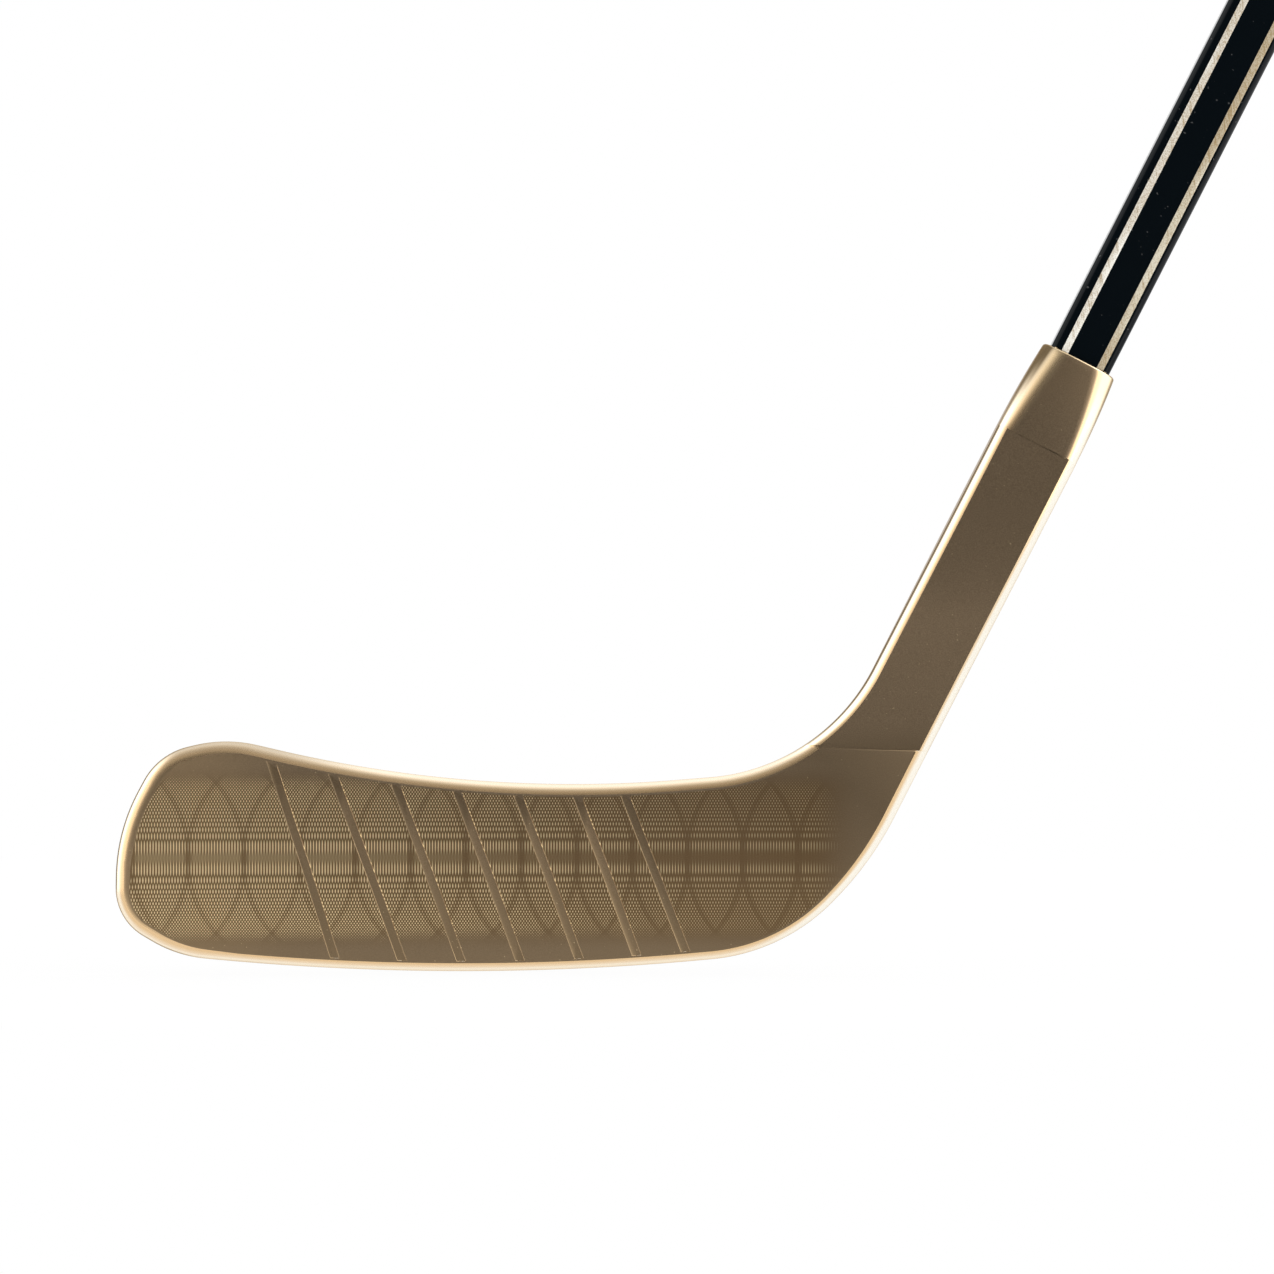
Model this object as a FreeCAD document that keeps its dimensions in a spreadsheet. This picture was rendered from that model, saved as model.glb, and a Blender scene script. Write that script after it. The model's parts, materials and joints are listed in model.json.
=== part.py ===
"""Ice hockey stick: a moulded blade with a long socket, glued over the tapered end of a laminated shaft.

The stick stands in its playing lie. X runs along the blade from toe (-X) to heel (+X), Z is up and the
two blade faces look along -Y and +Y. The origin is the lowest point of the blade's rocker, on the blade's
middle plane. The shaft is drawn upright in a frame of its own, whose Z is the shaft's length measured
from the ice, and its pieces are then leaned over together.
"""
import FreeCAD, Part
import math
import os

import Sketcher
from FreeCAD import Placement, Rotation, Vector

# Every driving dimension, in millimetres and degrees.
SIZES = {
    # lie of the stick
    "lean_angle": 27.1,
    "foot_x": 133.0,
    "stick_length": 1448.0,
    # shaft
    "shaft_width": 27.6,
    "shaft_depth": 18.5,
    "shaft_corner": 3.5,
    "wrap_wall": 0.5,
    "glass_sheet": 0.8,
    "corner_relief": 0.6,
    "ply_count": 5,
    "stripe_width": 3.4,
    "stripe_offset": 8.4,
    "stripe_foil": 0.2,
    "stripe_end_gap": 3.0,
    # joint between shaft and blade
    "mouth_station": 296.9,
    "collar_length": 41.2,
    "glued_length": 60.0,
    "glue_line": 0.3,
    "glue_setback": 1.5,
    "tongue_tip": 4.0,
    "tongue_root_gap": 10.5,
    "fit_gap": 0.3,
    # neck and collar
    "neck_width": 37.7,
    "neck_depth": 25.0,
    "collar_step": 0.4,
    "mouth_width": 34.3,
    "mouth_depth": 24.2,
    "collar_corner": 4.2,
    "mouth_corner": 8.0,
    "mouth_round": 0.8,
    "neck_root": 96.2,
    "neck_land": 7.0,
    "neck_blend": 420.0,
    # blade plate
    "blade_thickness": 9.0,
    "rim_radius": 3.6,
    "curve_start": 70.0,
    "curve_radius": 1850.0,
    "rocker_radius": 1096.0,
    "rocker_toe_rise": 5.44,
    "rocker_heel_rise": 5.08,
    "toe_reach": 149.0,
    "toe_foot_radius": 31.4,
    "toe_front_inset": 0.7,
    "toe_front_height": 47.2,
    "toe_front_radius": 58.4,
    "toe_top_inset": 10.3,
    "toe_top_drop": 17.2,
    "toe_top_radius": 28.9,
    "crest_height": 103.8,
    "crest_inset": 39.7,
    "crest_radius": 46.0,
    "waist_x": 7.3,
    "waist_height": 76.1,
    "waist_radius": 556.0,
    "throat_station": 89.1,
    "throat_radius": 86.9,
    "heel_x": 140.6,
    "heel_radius": 84.7,
    "heel_station": 63.6,
    "heel_back_radius": 142.2,
    # raised strips on the front face
    "strip_count": 7,
    "strip_from_toe": 80.7,
    "strip_level": 49.4,
    "strip_pitch": 25.4,
    "strip_width": 4.9,
    "strip_slope": 19.6,
    "strip_margin": 5.0,
    "strip_relief": 0.35,
}

doc = FreeCAD.newDocument("hockey_stick")
sheet = doc.addObject("Spreadsheet::Sheet", "sizes")
for row, (alias, value) in enumerate(SIZES.items(), start=1):
    sheet.set("A%d" % row, alias)
    sheet.set("B%d" % row, str(value))
    sheet.setAlias("B%d" % row, alias)
doc.recompute()


def size(alias):
    """Read one driving dimension from the sheet."""
    return float(sheet.get(alias))


def bind(item, **expressions):
    """Bind properties of an object to expressions on the sheet; __ in a name stands for a dot."""
    for path, expression in expressions.items():
        item.setExpression("." + path.replace("__", "."), expression)


# ---- places along the shaft --------------------------------------------------------------------------

SEAT = "(sizes.mouth_station - sizes.glued_length)"
NOTCH = "(sizes.mouth_station - sizes.collar_length)"
CORE_WIDTH = "(sizes.shaft_width - 2 * sizes.wrap_wall)"
CORE_DEPTH = "(sizes.shaft_depth - 2 * sizes.wrap_wall)"
PLY_DEPTH = "(%s - 2 * sizes.glass_sheet)" % CORE_DEPTH
PLY_WIDTH = "(%s / sizes.ply_count)" % CORE_WIDTH
CAVITY_WIDTH = "(sizes.shaft_width + 2 * sizes.glue_line)"
CAVITY_DEPTH = "(sizes.shaft_depth + 2 * sizes.glue_line)"

TONGUE_LENGTH = "(%s - sizes.neck_root / cos(sizes.lean_angle) - sizes.tongue_root_gap)" % SEAT

lean = math.radians(size("lean_angle"))
notch_station = size("mouth_station") - size("collar_length")


def beside_shaft(station, offset):
    """The face-on point at a length along the shaft's axis and a distance to the heel side of it."""
    x = size("foot_x") + station * math.sin(lean) + offset * math.cos(lean)
    z = station * math.cos(lean) - offset * math.sin(lean)
    return Vector(x, z, 0)


def lean_over(item):
    """Lean a piece that was drawn upright into the shaft's place."""
    item.Placement = Placement(Vector(size("foot_x"), 0, 0), Rotation(Vector(0, 1, 0), size("lean_angle")))
    bind(item, Placement__Base__x="sizes.foot_x", Placement__Rotation__Angle="sizes.lean_angle")


MOST_OF_RUN = 0.9


# ---- sketch helpers ----------------------------------------------------------------------------------

def constrain(sketch, name, expression, *arguments):
    """Add a named dimension to a sketch and bind it to the sheet."""
    number = sketch.addConstraint(Sketcher.Constraint(*arguments))
    sketch.renameConstraint(number, name)
    sketch.setExpression("Constraints." + name, expression)


def draw_rectangle(sketch, prefix, width, depth, guess, middle_x=None, middle_y=None):
    """Draw a rectangle about the origin, or about a middle given by expressions, with bound sizes."""
    x, y, half_w, half_d = guess
    corners = [Vector(x - half_w, y - half_d, 0), Vector(x + half_w, y - half_d, 0),
               Vector(x + half_w, y + half_d, 0), Vector(x - half_w, y + half_d, 0)]
    first = sketch.GeometryCount
    for i in range(4):
        sketch.addGeometry(Part.LineSegment(corners[i], corners[(i + 1) % 4]), False)
    for i in range(4):
        sketch.addConstraint(Sketcher.Constraint("Coincident", first + i, 2, first + (i + 1) % 4, 1))
    for i in (0, 2):
        sketch.addConstraint(Sketcher.Constraint("Horizontal", first + i))
        sketch.addConstraint(Sketcher.Constraint("Vertical", first + i + 1))
    constrain(sketch, prefix + "_width", width, "DistanceX", first, 1, first, 2, 2 * half_w)
    constrain(sketch, prefix + "_depth", depth, "DistanceY", first + 1, 1, first + 1, 2, 2 * half_d)
    right = "%s + %s / 2" % (middle_x or "0", width)
    front = "%s - %s / 2" % (middle_y or "0", depth)
    constrain(sketch, prefix + "_right", right, "DistanceX", -1, 1, first, 2, x + half_w)
    constrain(sketch, prefix + "_front", front, "DistanceY", -1, 1, first, 2, y - half_d)


def draw_rounded_rectangle(sketch, prefix, width, depth, corner, guess):
    """Draw a rounded rectangle about the origin with its width, depth and corner radius bound."""
    half_w, half_d, radius = guess
    in_w = half_w - radius
    in_d = half_d - radius
    first = sketch.GeometryCount
    sides = [(Vector(-in_w, -half_d, 0), Vector(in_w, -half_d, 0)),
             (Vector(half_w, -in_d, 0), Vector(half_w, in_d, 0)),
             (Vector(in_w, half_d, 0), Vector(-in_w, half_d, 0)),
             (Vector(-half_w, in_d, 0), Vector(-half_w, -in_d, 0))]
    middles = [Vector(in_w, -in_d, 0), Vector(in_w, in_d, 0), Vector(-in_w, in_d, 0), Vector(-in_w, -in_d, 0)]
    for i in range(4):
        sketch.addGeometry(Part.LineSegment(*sides[i]), False)
    for i in range(4):
        circle = Part.Circle(middles[i], Vector(0, 0, 1), radius)
        start = (i - 1) * math.pi / 2
        sketch.addGeometry(Part.ArcOfCircle(circle, start, start + math.pi / 2), False)
    for i in range(4):
        arc = first + 4 + i
        sketch.addConstraint(Sketcher.Constraint("Tangent", first + i, 2, arc, 1))
        sketch.addConstraint(Sketcher.Constraint("Tangent", arc, 2, first + (i + 1) % 4, 1))
    for i in range(1, 4):
        sketch.addConstraint(Sketcher.Constraint("Equal", first + 4, first + 4 + i))
    sketch.addConstraint(Sketcher.Constraint("Horizontal", first + 2))
    sketch.addConstraint(Sketcher.Constraint("Vertical", first + 1))
    sketch.addConstraint(Sketcher.Constraint("Symmetric", first, 1, first, 2, -2))
    sketch.addConstraint(Sketcher.Constraint("Symmetric", first + 3, 1, first + 3, 2, -1))
    constrain(sketch, prefix + "_width", width, "DistanceX", first + 3, 1, first + 1, 1, 2 * half_w)
    constrain(sketch, prefix + "_depth", depth, "DistanceY", first, 1, first + 2, 1, 2 * half_d)
    constrain(sketch, prefix + "_corner", corner, "Radius", first + 4, radius)


def draw_outline(sketch, corners):
    """Draw a closed outline of straight runs joined by tangent arcs, from (point, radius) corners.

    Where two neighbouring arcs would need more than the run between them, both give way in proportion.
    """
    count = len(corners)
    points = [point for point, radius in corners]
    ahead = [(points[(i + 1) % count] - points[i]) for i in range(count)]
    runs = [step.Length for step in ahead]
    halves = [(-ahead[i - 1]).getAngle(ahead[i]) / 2 for i in range(count)]
    wanted = [corners[i][1] / math.tan(halves[i]) for i in range(count)]
    shares = [min(1.0, MOST_OF_RUN * runs[i] / max(wanted[i] + wanted[(i + 1) % count], MOST_OF_RUN))
              for i in range(count)]
    cuts = [wanted[i] * min(shares[i - 1], shares[i]) for i in range(count)]
    starts = [points[i] - ahead[i - 1] * (cuts[i] / runs[i - 1]) for i in range(count)]
    ends = [points[i] + ahead[i] * (cuts[i] / runs[i]) for i in range(count)]
    shapes = []
    for i in range(count):
        if cuts[i]:
            inward = (starts[i] + ends[i]) / 2 - points[i]
            bulge = cuts[i] * math.tan(halves[i]) * (1 / math.sin(halves[i]) - 1)
            shapes.append(Part.Arc(starts[i], points[i] + inward.normalize() * bulge, ends[i]))
        shapes.append(Part.LineSegment(ends[i], starts[(i + 1) % count]))
    sketch.addGeometry(shapes, False)


def draw_band(sketch, front, back, heel_end):
    """Draw the blade's plan between two distances from its middle plane, toe curve included."""
    turn = (size("curve_start") + size("toe_reach")) / size("curve_radius") * 1.05
    pivot = Vector(size("curve_start"), -size("curve_radius"), 0)

    def on_curve(distance, angle):
        radius = size("curve_radius") + distance
        return pivot + Vector(-radius * math.sin(angle), radius * math.cos(angle), 0)

    shapes = []
    for distance in (front, back):
        shapes.append(Part.Arc(on_curve(distance, 0), on_curve(distance, turn / 2), on_curve(distance, turn)))
        if heel_end > size("curve_start"):
            shapes.append(Part.LineSegment(on_curve(distance, 0), Vector(heel_end, distance, 0)))
    shapes.append(Part.LineSegment(on_curve(front, turn), on_curve(back, turn)))
    shapes.append(Part.LineSegment(Vector(heel_end, front, 0), Vector(heel_end, back, 0)))
    sketch.addGeometry(shapes, False)


# ---- solid helpers -----------------------------------------------------------------------------------

FACE_ON = Rotation(Vector(1, 0, 0), 90)
END_ON = Rotation(Vector(1, 1, 1), 120)


def free_sketch(name, rotation=Rotation(), base=Vector()):
    """Make a sketch that lies on a plane of its own."""
    sketch = doc.addObject("Sketcher::SketchObject", name)
    sketch.Placement = Placement(base, rotation)
    return sketch


def extrude(name, profile, length, symmetric=False):
    """Extrude a profile along its normal by an expression's length."""
    solid = doc.addObject("Part::Extrusion", name)
    solid.Base = profile
    solid.DirMode = "Normal"
    solid.Solid = True
    solid.Symmetric = symmetric
    bind(solid, LengthFwd=length)
    return solid


def join(name, shapes):
    """Fuse several shapes into one."""
    solid = doc.addObject("Part::MultiFuse", name)
    solid.Shapes = shapes
    return solid


def boolean(kind, name, base, tool):
    """Cut or intersect two shapes."""
    solid = doc.addObject("Part::" + kind, name)
    solid.Base = base
    solid.Tool = tool
    return solid


def bar(name, draw, bottom, length):
    """Pad a cross-section drawn on the shaft's own XY plane, from a bottom station upwards."""
    body = doc.addObject("PartDesign::Body", name)
    sketch = body.newObject("Sketcher::SketchObject", name + "_section")
    plane = [feature for feature in body.Origin.OriginFeatures if feature.Role == "XY_Plane"][0]
    sketch.AttachmentSupport = (plane, [""])
    sketch.MapMode = "FlatFace"
    bind(sketch, AttachmentOffset__Base__z=bottom)
    draw(sketch)
    pad = body.newObject("PartDesign::Pad", name + "_pad")
    pad.Profile = sketch
    bind(pad, Length=length)
    return body


def rounded_section(width, depth, corner, guess):
    """A drawing function for one rounded rectangle."""
    return lambda sketch: draw_rounded_rectangle(sketch, "outer", width, depth, corner, guess)


def rounded_tube_section(outer, inner):
    """A drawing function for a rounded tube: two rounded rectangles, one in the other."""
    def draw(sketch):
        draw_rounded_rectangle(sketch, "outer", *outer)
        draw_rounded_rectangle(sketch, "inner", *inner)
    return draw


def taper(name, foot, tip_depth, root_depth, width, length):
    """A wedge along the shaft whose depth grows from its tip to its root and whose width stays."""
    wedge = doc.addObject("Part::Wedge", name)
    wedge.Placement = Placement(Vector(0, 0, 0), Rotation(Vector(1, 0, 0), 90))
    half_width = "%s / 2" % width
    bind(wedge, Ymin="0", Ymax=length, Xmin="-" + half_width, X2min="-" + half_width,
         Xmax=half_width, X2max=half_width, Zmin="-%s / 2" % tip_depth, Zmax="%s / 2" % tip_depth,
         Z2min="-%s / 2" % root_depth, Z2max="%s / 2" % root_depth, Placement__Base__z=foot)
    return wedge


# ---- shaft -------------------------------------------------------------------------------------------

half_shaft = (size("shaft_width") / 2, size("shaft_depth") / 2)
wall = size("wrap_wall")
WRAP_LENGTH = "(sizes.stick_length - %s - sizes.fit_gap)" % SEAT
CORE_CORNER = "(sizes.shaft_corner - sizes.wrap_wall + sizes.corner_relief)"


def make_wrap():
    """The black lacquered glass-fibre sleeve round the whole shaft."""
    outer = ("sizes.shaft_width", "sizes.shaft_depth", "sizes.shaft_corner",
             (half_shaft[0], half_shaft[1], size("shaft_corner")))
    inner = (CORE_WIDTH, CORE_DEPTH, "sizes.shaft_corner - sizes.wrap_wall",
             (half_shaft[0] - wall, half_shaft[1] - wall, size("shaft_corner") - wall))
    return bar("shaft_wrap", rounded_tube_section(outer, inner), SEAT + " + sizes.fit_gap", WRAP_LENGTH)


def make_core():
    """The wood and glass inside the wrap, as one blank, and the tapered tongue below it."""
    guess = (half_shaft[0] - wall, half_shaft[1] - wall, size("shaft_corner") - wall + size("corner_relief"))
    section = rounded_section(CORE_WIDTH, CORE_DEPTH, CORE_CORNER, guess)
    core = bar("core_blank", section, SEAT + " + sizes.fit_gap", WRAP_LENGTH)
    tongue = taper("tongue_blank", "%s + sizes.fit_gap - %s" % (SEAT, TONGUE_LENGTH), "sizes.tongue_tip",
                   PLY_DEPTH, CORE_WIDTH, TONGUE_LENGTH)
    return core, join("wood_blank", [core, tongue])


def make_slab(name, bottom, length, width, depth, x_min, y_min):
    """A box in the shaft's own frame, used to divide the core into its layers."""
    box = doc.addObject("Part::Box", name)
    bind(box, Length=width, Width=depth, Height=length, Placement__Base__x=x_min,
         Placement__Base__y=y_min, Placement__Base__z=bottom)
    return box


def make_plies(wood):
    """The laminated wood: strips side by side across the shaft's width, tongue included."""
    plies = []
    for i in range(int(size("ply_count"))):
        left = "(%d * %s - %s / 2)" % (i, PLY_WIDTH, CORE_WIDTH)
        slab = make_slab("ply_slab_%d" % (i + 1), "0", "sizes.stick_length", PLY_WIDTH, PLY_DEPTH, left,
                         "-%s / 2" % PLY_DEPTH)
        plies.append(boolean("Common", "core_ply_%d" % (i + 1), wood, slab))
    return plies


def make_glass_sheets(core):
    """The thin glass-fibre sheet on each wide side of the plies."""
    sheets = []
    for side, y_min in (("front", "-%s / 2" % CORE_DEPTH), ("back", "%s / 2" % PLY_DEPTH)):
        slab = make_slab(side + "_sheet_slab", "0", "sizes.stick_length", CORE_WIDTH, "sizes.glass_sheet",
                         "-%s / 2" % CORE_WIDTH, y_min)
        sheets.append(boolean("Common", side + "_glass_sheet", core, slab))
    return sheets


def make_stripes():
    """Two gold foil stripes on each wide face of the shaft, from the socket's mouth to the butt."""
    stripes = []
    bottom = "sizes.mouth_station"
    length = "(sizes.stick_length - sizes.mouth_station - sizes.stripe_end_gap)"
    for side, sign in (("front", -1), ("back", 1)):
        for place, across in (("toe_side", -1), ("heel_side", 1)):
            middle_x = "%d * sizes.stripe_offset" % across
            middle_y = "%d * (sizes.shaft_depth + sizes.stripe_foil) / 2" % sign
            guess = (across * size("stripe_offset"), sign * (size("shaft_depth") + size("stripe_foil")) / 2,
                     size("stripe_width") / 2, size("stripe_foil") / 2)

            def draw(sketch, guess=guess, middle_x=middle_x, middle_y=middle_y):
                draw_rectangle(sketch, "foil", "sizes.stripe_width", "sizes.stripe_foil", guess,
                               middle_x, middle_y)
            stripes.append(bar("%s_stripe_%s" % (side, place), draw, bottom, length))
    return stripes


def make_glue():
    """The adhesive between the wrapped shaft and the walls of the socket."""
    glue = size("glue_line")
    outer = (CAVITY_WIDTH, CAVITY_DEPTH, "sizes.shaft_corner + 2 * sizes.glue_line",
             (half_shaft[0] + glue, half_shaft[1] + glue, size("shaft_corner") + 2 * glue))
    inner = ("sizes.shaft_width", "sizes.shaft_depth", "sizes.shaft_corner - sizes.glue_line",
             (half_shaft[0], half_shaft[1], size("shaft_corner") - glue))
    return bar("socket_glue", rounded_tube_section(outer, inner), SEAT,
               "sizes.glued_length - sizes.glue_setback")


# ---- blade -------------------------------------------------------------------------------------------

def blade_corners():
    """The corners and radii of the blade's face outline, anticlockwise from the foot of the toe.

    The rocker is one arc that touches the ice at the origin and runs out to a rise at each end.
    """
    half_neck = size("neck_width") / 2
    toe = size("toe_reach")
    crest = size("crest_height")
    toe_rise = math.radians(size("rocker_toe_rise"))
    heel_rise = math.radians(size("rocker_heel_rise"))
    drop = size("rocker_radius") * (1 / math.cos((toe_rise + heel_rise) / 2) - 1)
    return [
        (Vector(-toe, toe * math.tan(toe_rise) - drop, 0), size("toe_foot_radius")),
        (Vector(0, -drop, 0), size("rocker_radius")),
        (Vector(size("heel_x"), size("heel_x") * math.tan(heel_rise) - drop, 0), size("heel_radius")),
        (beside_shaft(size("heel_station"), half_neck), size("heel_back_radius")),
        (beside_shaft(notch_station, half_neck), 0),
        (beside_shaft(notch_station, -half_neck), 0),
        (beside_shaft(size("throat_station"), -half_neck), size("throat_radius")),
        (Vector(size("waist_x"), size("waist_height"), 0), size("waist_radius")),
        (Vector(size("crest_inset") - toe, crest, 0), size("crest_radius")),
        (Vector(size("toe_top_inset") - toe, crest - size("toe_top_drop"), 0), size("toe_top_radius")),
        (Vector(size("toe_front_inset") - toe, size("toe_front_height"), 0), size("toe_front_radius")),
    ]


def neck_corners():
    """The corners of the neck seen end on: a parallel plate that swells upwards to the collar."""
    half_plate = size("blade_thickness") / 2
    half_neck = size("neck_depth") / 2
    below = -size("blade_thickness")
    blend = size("neck_blend")
    full_height = beside_shaft(notch_station, size("neck_width") / 2).y - size("neck_land")
    right = [(half_plate, below, 0), (half_plate, size("neck_root"), blend),
             (half_neck, full_height, blend), (half_neck, size("mouth_station"), 0)]
    left = [(-y, z, radius) for y, z, radius in reversed(right)]
    return [(Vector(y, z, 0), radius) for y, z, radius in right + left]


def rim_edges(plate):
    """The numbers of the edges where the plate's faces meet its outline, the notch end left out."""
    found = []
    along = Vector(math.sin(lean), 0, math.cos(lean))
    for number, edge in enumerate(plate.Shape.Edges, start=1):
        faces = plate.Shape.ancestorsOfType(edge, Part.Face)
        if len(faces) != 2:
            continue
        middle = edge.valueAt((edge.FirstParameter + edge.LastParameter) / 2)
        upward = []
        for face in faces:
            u, v = face.Surface.parameter(middle)
            upward.append(abs(face.normalAt(u, v).y))
        station = (middle - Vector(size("foot_x"), 0, 0)).dot(along)
        on_rim = min(upward) < 0.05 and max(upward) > 0.9
        if on_rim and station < notch_station - 0.5:
            found.append(number)
    return found


def make_plate():
    """The blade plate and neck: the face outline, given its thickness and toe curve, with a round rim."""
    outline = free_sketch("blade_outline", FACE_ON)
    draw_outline(outline, blade_corners())
    reach = "2 * (sizes.toe_reach / 4 + sizes.neck_depth)"
    blank = extrude("blade_blank", outline, reach, symmetric=True)

    plan = free_sketch("blade_plan", base=Vector(0, 0, -size("blade_thickness")))
    half_plate = size("blade_thickness") / 2
    draw_band(plan, -half_plate, half_plate, size("curve_start"))
    curved = extrude("curved_slab", plan, "sizes.crest_height + 2 * sizes.blade_thickness")

    profile = free_sketch("neck_profile", END_ON, Vector(size("curve_start"), 0, 0))
    draw_outline(profile, neck_corners())
    neck = extrude("neck_slab", profile, "sizes.foot_x + sizes.mouth_station")

    slab = join("blade_slab", [curved, neck])
    plate = boolean("Common", "blade_plate", blank, slab)
    doc.recompute()
    rounded = doc.addObject("Part::Fillet", "rounded_plate")
    rounded.Base = plate
    radius = size("rim_radius")
    rounded.Edges = [(number, radius, radius) for number in rim_edges(plate)]
    return outline, rounded


def make_strips(outline):
    """The smooth diagonal strips that stand up between the fields of milled grip on the front face."""
    sketch = free_sketch("strip_lines", FACE_ON)
    slope = math.tan(math.radians(size("strip_slope")))
    half = size("strip_width") / 2 / math.cos(math.radians(size("strip_slope")))
    high = size("crest_height")
    for i in range(int(size("strip_count"))):
        x = size("strip_from_toe") - size("toe_reach") + i * size("strip_pitch")
        foot = x + size("strip_level") * slope
        head = x + (size("strip_level") - high) * slope
        corners = [Vector(foot - half, 0, 0), Vector(foot + half, 0, 0),
                   Vector(head + half, high, 0), Vector(head - half, high, 0)]
        draw_outline(sketch, [(corner, 0) for corner in corners])
    strips = extrude("strip_prisms", sketch, "sizes.toe_reach", symmetric=True)

    inset = doc.addObject("Part::Offset2D", "strip_field")
    inset.Source = outline
    bind(inset, Value="-sizes.strip_margin")
    field = extrude("strip_field_prism", inset, "sizes.toe_reach", symmetric=True)

    plan = free_sketch("strip_plan")
    face = -size("blade_thickness") / 2
    draw_band(plan, face - size("strip_relief"), face + size("rim_radius") / 2, size("foot_x"))
    skin = extrude("strip_skin", plan, "sizes.crest_height")
    return boolean("Common", "raised_strips", boolean("Common", "strips_in_field", strips, field), skin)


def make_collar():
    """The collar above the notch: it narrows and rounds from the neck to the socket's mouth."""
    step = size("collar_step")
    foot = free_sketch("collar_foot")
    draw_rounded_rectangle(foot, "foot", "sizes.neck_width - 2 * sizes.collar_step",
                           "sizes.neck_depth - 2 * sizes.collar_step", "sizes.collar_corner",
                           (size("neck_width") / 2 - step, size("neck_depth") / 2 - step,
                            size("collar_corner")))
    bind(foot, Placement__Base__z=NOTCH)
    mouth = free_sketch("collar_mouth")
    draw_rounded_rectangle(mouth, "mouth", "sizes.mouth_width", "sizes.mouth_depth", "sizes.mouth_corner",
                           (size("mouth_width") / 2, size("mouth_depth") / 2, size("mouth_corner")))
    bind(mouth, Placement__Base__z="sizes.mouth_station")
    collar = doc.addObject("Part::Loft", "collar")
    collar.Sections = [foot, mouth]
    collar.Solid = True
    collar.Ruled = True
    doc.recompute()
    rounded = doc.addObject("Part::Fillet", "rounded_collar")
    rounded.Base = collar
    radius = size("mouth_round")
    mouth_edges = [number for number, edge in enumerate(collar.Shape.Edges, start=1)
                   if edge.BoundBox.ZMin > size("mouth_station") - radius]
    rounded.Edges = [(number, radius, radius) for number in mouth_edges]
    return rounded


def make_cavity():
    """The hollow in the neck and collar: a socket for the wrapped shaft and a slot for the tongue."""
    glue = size("glue_line")
    section = rounded_section(CAVITY_WIDTH, CAVITY_DEPTH, "sizes.shaft_corner + sizes.glue_line",
                              (half_shaft[0] + glue, half_shaft[1] + glue, size("shaft_corner") + glue))
    socket = bar("socket_hollow", section, SEAT, "sizes.glued_length * 2")
    slot = taper("tongue_hollow", "%s - %s" % (SEAT, TONGUE_LENGTH), "(sizes.tongue_tip + 2 * sizes.fit_gap)",
                 "(%s + 2 * sizes.fit_gap)" % PLY_DEPTH, "(%s + 2 * sizes.fit_gap)" % CORE_WIDTH,
                 TONGUE_LENGTH)
    cavity = join("cavity", [socket, slot])
    lean_over(cavity)
    return cavity


def make_blade():
    """The one-piece blade moulding: plate, neck, collar and raised strips, with the socket cut out."""
    outline, plate = make_plate()
    strips = make_strips(outline)
    collar = make_collar()
    lean_over(collar)
    solid = join("blade_solid", [plate, collar, strips])
    return boolean("Cut", "blade", solid, make_cavity())


# ---- assembly ----------------------------------------------------------------------------------------

core_blank, wood_blank = make_core()
shaft_pieces = [make_wrap()] + make_plies(wood_blank) + make_glass_sheets(core_blank)
shaft_pieces += make_stripes() + [make_glue()]
for piece in shaft_pieces:
    lean_over(piece)
pieces = [make_blade()] + shaft_pieces
for piece in pieces:
    piece.Label = piece.Name
doc.recompute()

for item in doc.Objects:
    if "Invalid" in item.State or "Error" in item.State:
        raise RuntimeError("%s did not compute: %s" % (item.Name, item.State))
for piece in pieces:
    if piece.Shape.isNull() or not piece.Shape.isValid():
        raise RuntimeError("%s has no valid shape" % piece.Name)

os.makedirs("parts", exist_ok=True)
for piece in pieces:
    piece.Shape.exportStep(os.path.join("parts", piece.Label + ".step"))
    box = piece.Shape.BoundBox
    print("%-24s solids %d  volume %10.1f  x %7.1f..%7.1f  y %6.1f..%6.1f  z %7.1f..%7.1f" % (
        piece.Label, len(piece.Shape.Solids), piece.Shape.Volume, box.XMin, box.XMax, box.YMin, box.YMax,
        box.ZMin, box.ZMax))
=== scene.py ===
"""Looks of an ice hockey stick: a gold blade moulding with a milled grip, on a black lacquered shaft."""
from __future__ import annotations

import json
import logging
import math
from dataclasses import dataclass
from enum import IntEnum
from typing import Optional, Sequence, Union

import bmesh
import bpy
from mathutils import Matrix, Vector


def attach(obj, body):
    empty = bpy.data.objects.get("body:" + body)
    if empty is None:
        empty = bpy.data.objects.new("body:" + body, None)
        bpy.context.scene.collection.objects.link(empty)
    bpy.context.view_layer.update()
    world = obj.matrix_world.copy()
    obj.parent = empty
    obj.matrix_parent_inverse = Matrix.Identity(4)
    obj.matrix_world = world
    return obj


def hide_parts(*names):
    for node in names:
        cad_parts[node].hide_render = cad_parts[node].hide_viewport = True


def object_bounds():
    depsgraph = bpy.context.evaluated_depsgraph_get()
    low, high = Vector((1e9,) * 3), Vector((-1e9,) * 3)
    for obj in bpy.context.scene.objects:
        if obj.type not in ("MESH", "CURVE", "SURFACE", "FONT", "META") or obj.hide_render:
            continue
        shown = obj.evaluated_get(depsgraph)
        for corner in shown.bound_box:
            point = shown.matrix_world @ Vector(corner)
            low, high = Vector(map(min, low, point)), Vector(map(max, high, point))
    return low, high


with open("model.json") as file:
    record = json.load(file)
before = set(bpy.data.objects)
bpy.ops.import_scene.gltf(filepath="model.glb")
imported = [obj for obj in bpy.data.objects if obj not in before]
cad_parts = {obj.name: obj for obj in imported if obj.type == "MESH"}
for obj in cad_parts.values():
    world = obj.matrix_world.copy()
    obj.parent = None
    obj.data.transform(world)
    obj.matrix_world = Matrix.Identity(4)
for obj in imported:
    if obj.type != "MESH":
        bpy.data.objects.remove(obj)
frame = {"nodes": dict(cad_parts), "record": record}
CAD_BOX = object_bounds()

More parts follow.
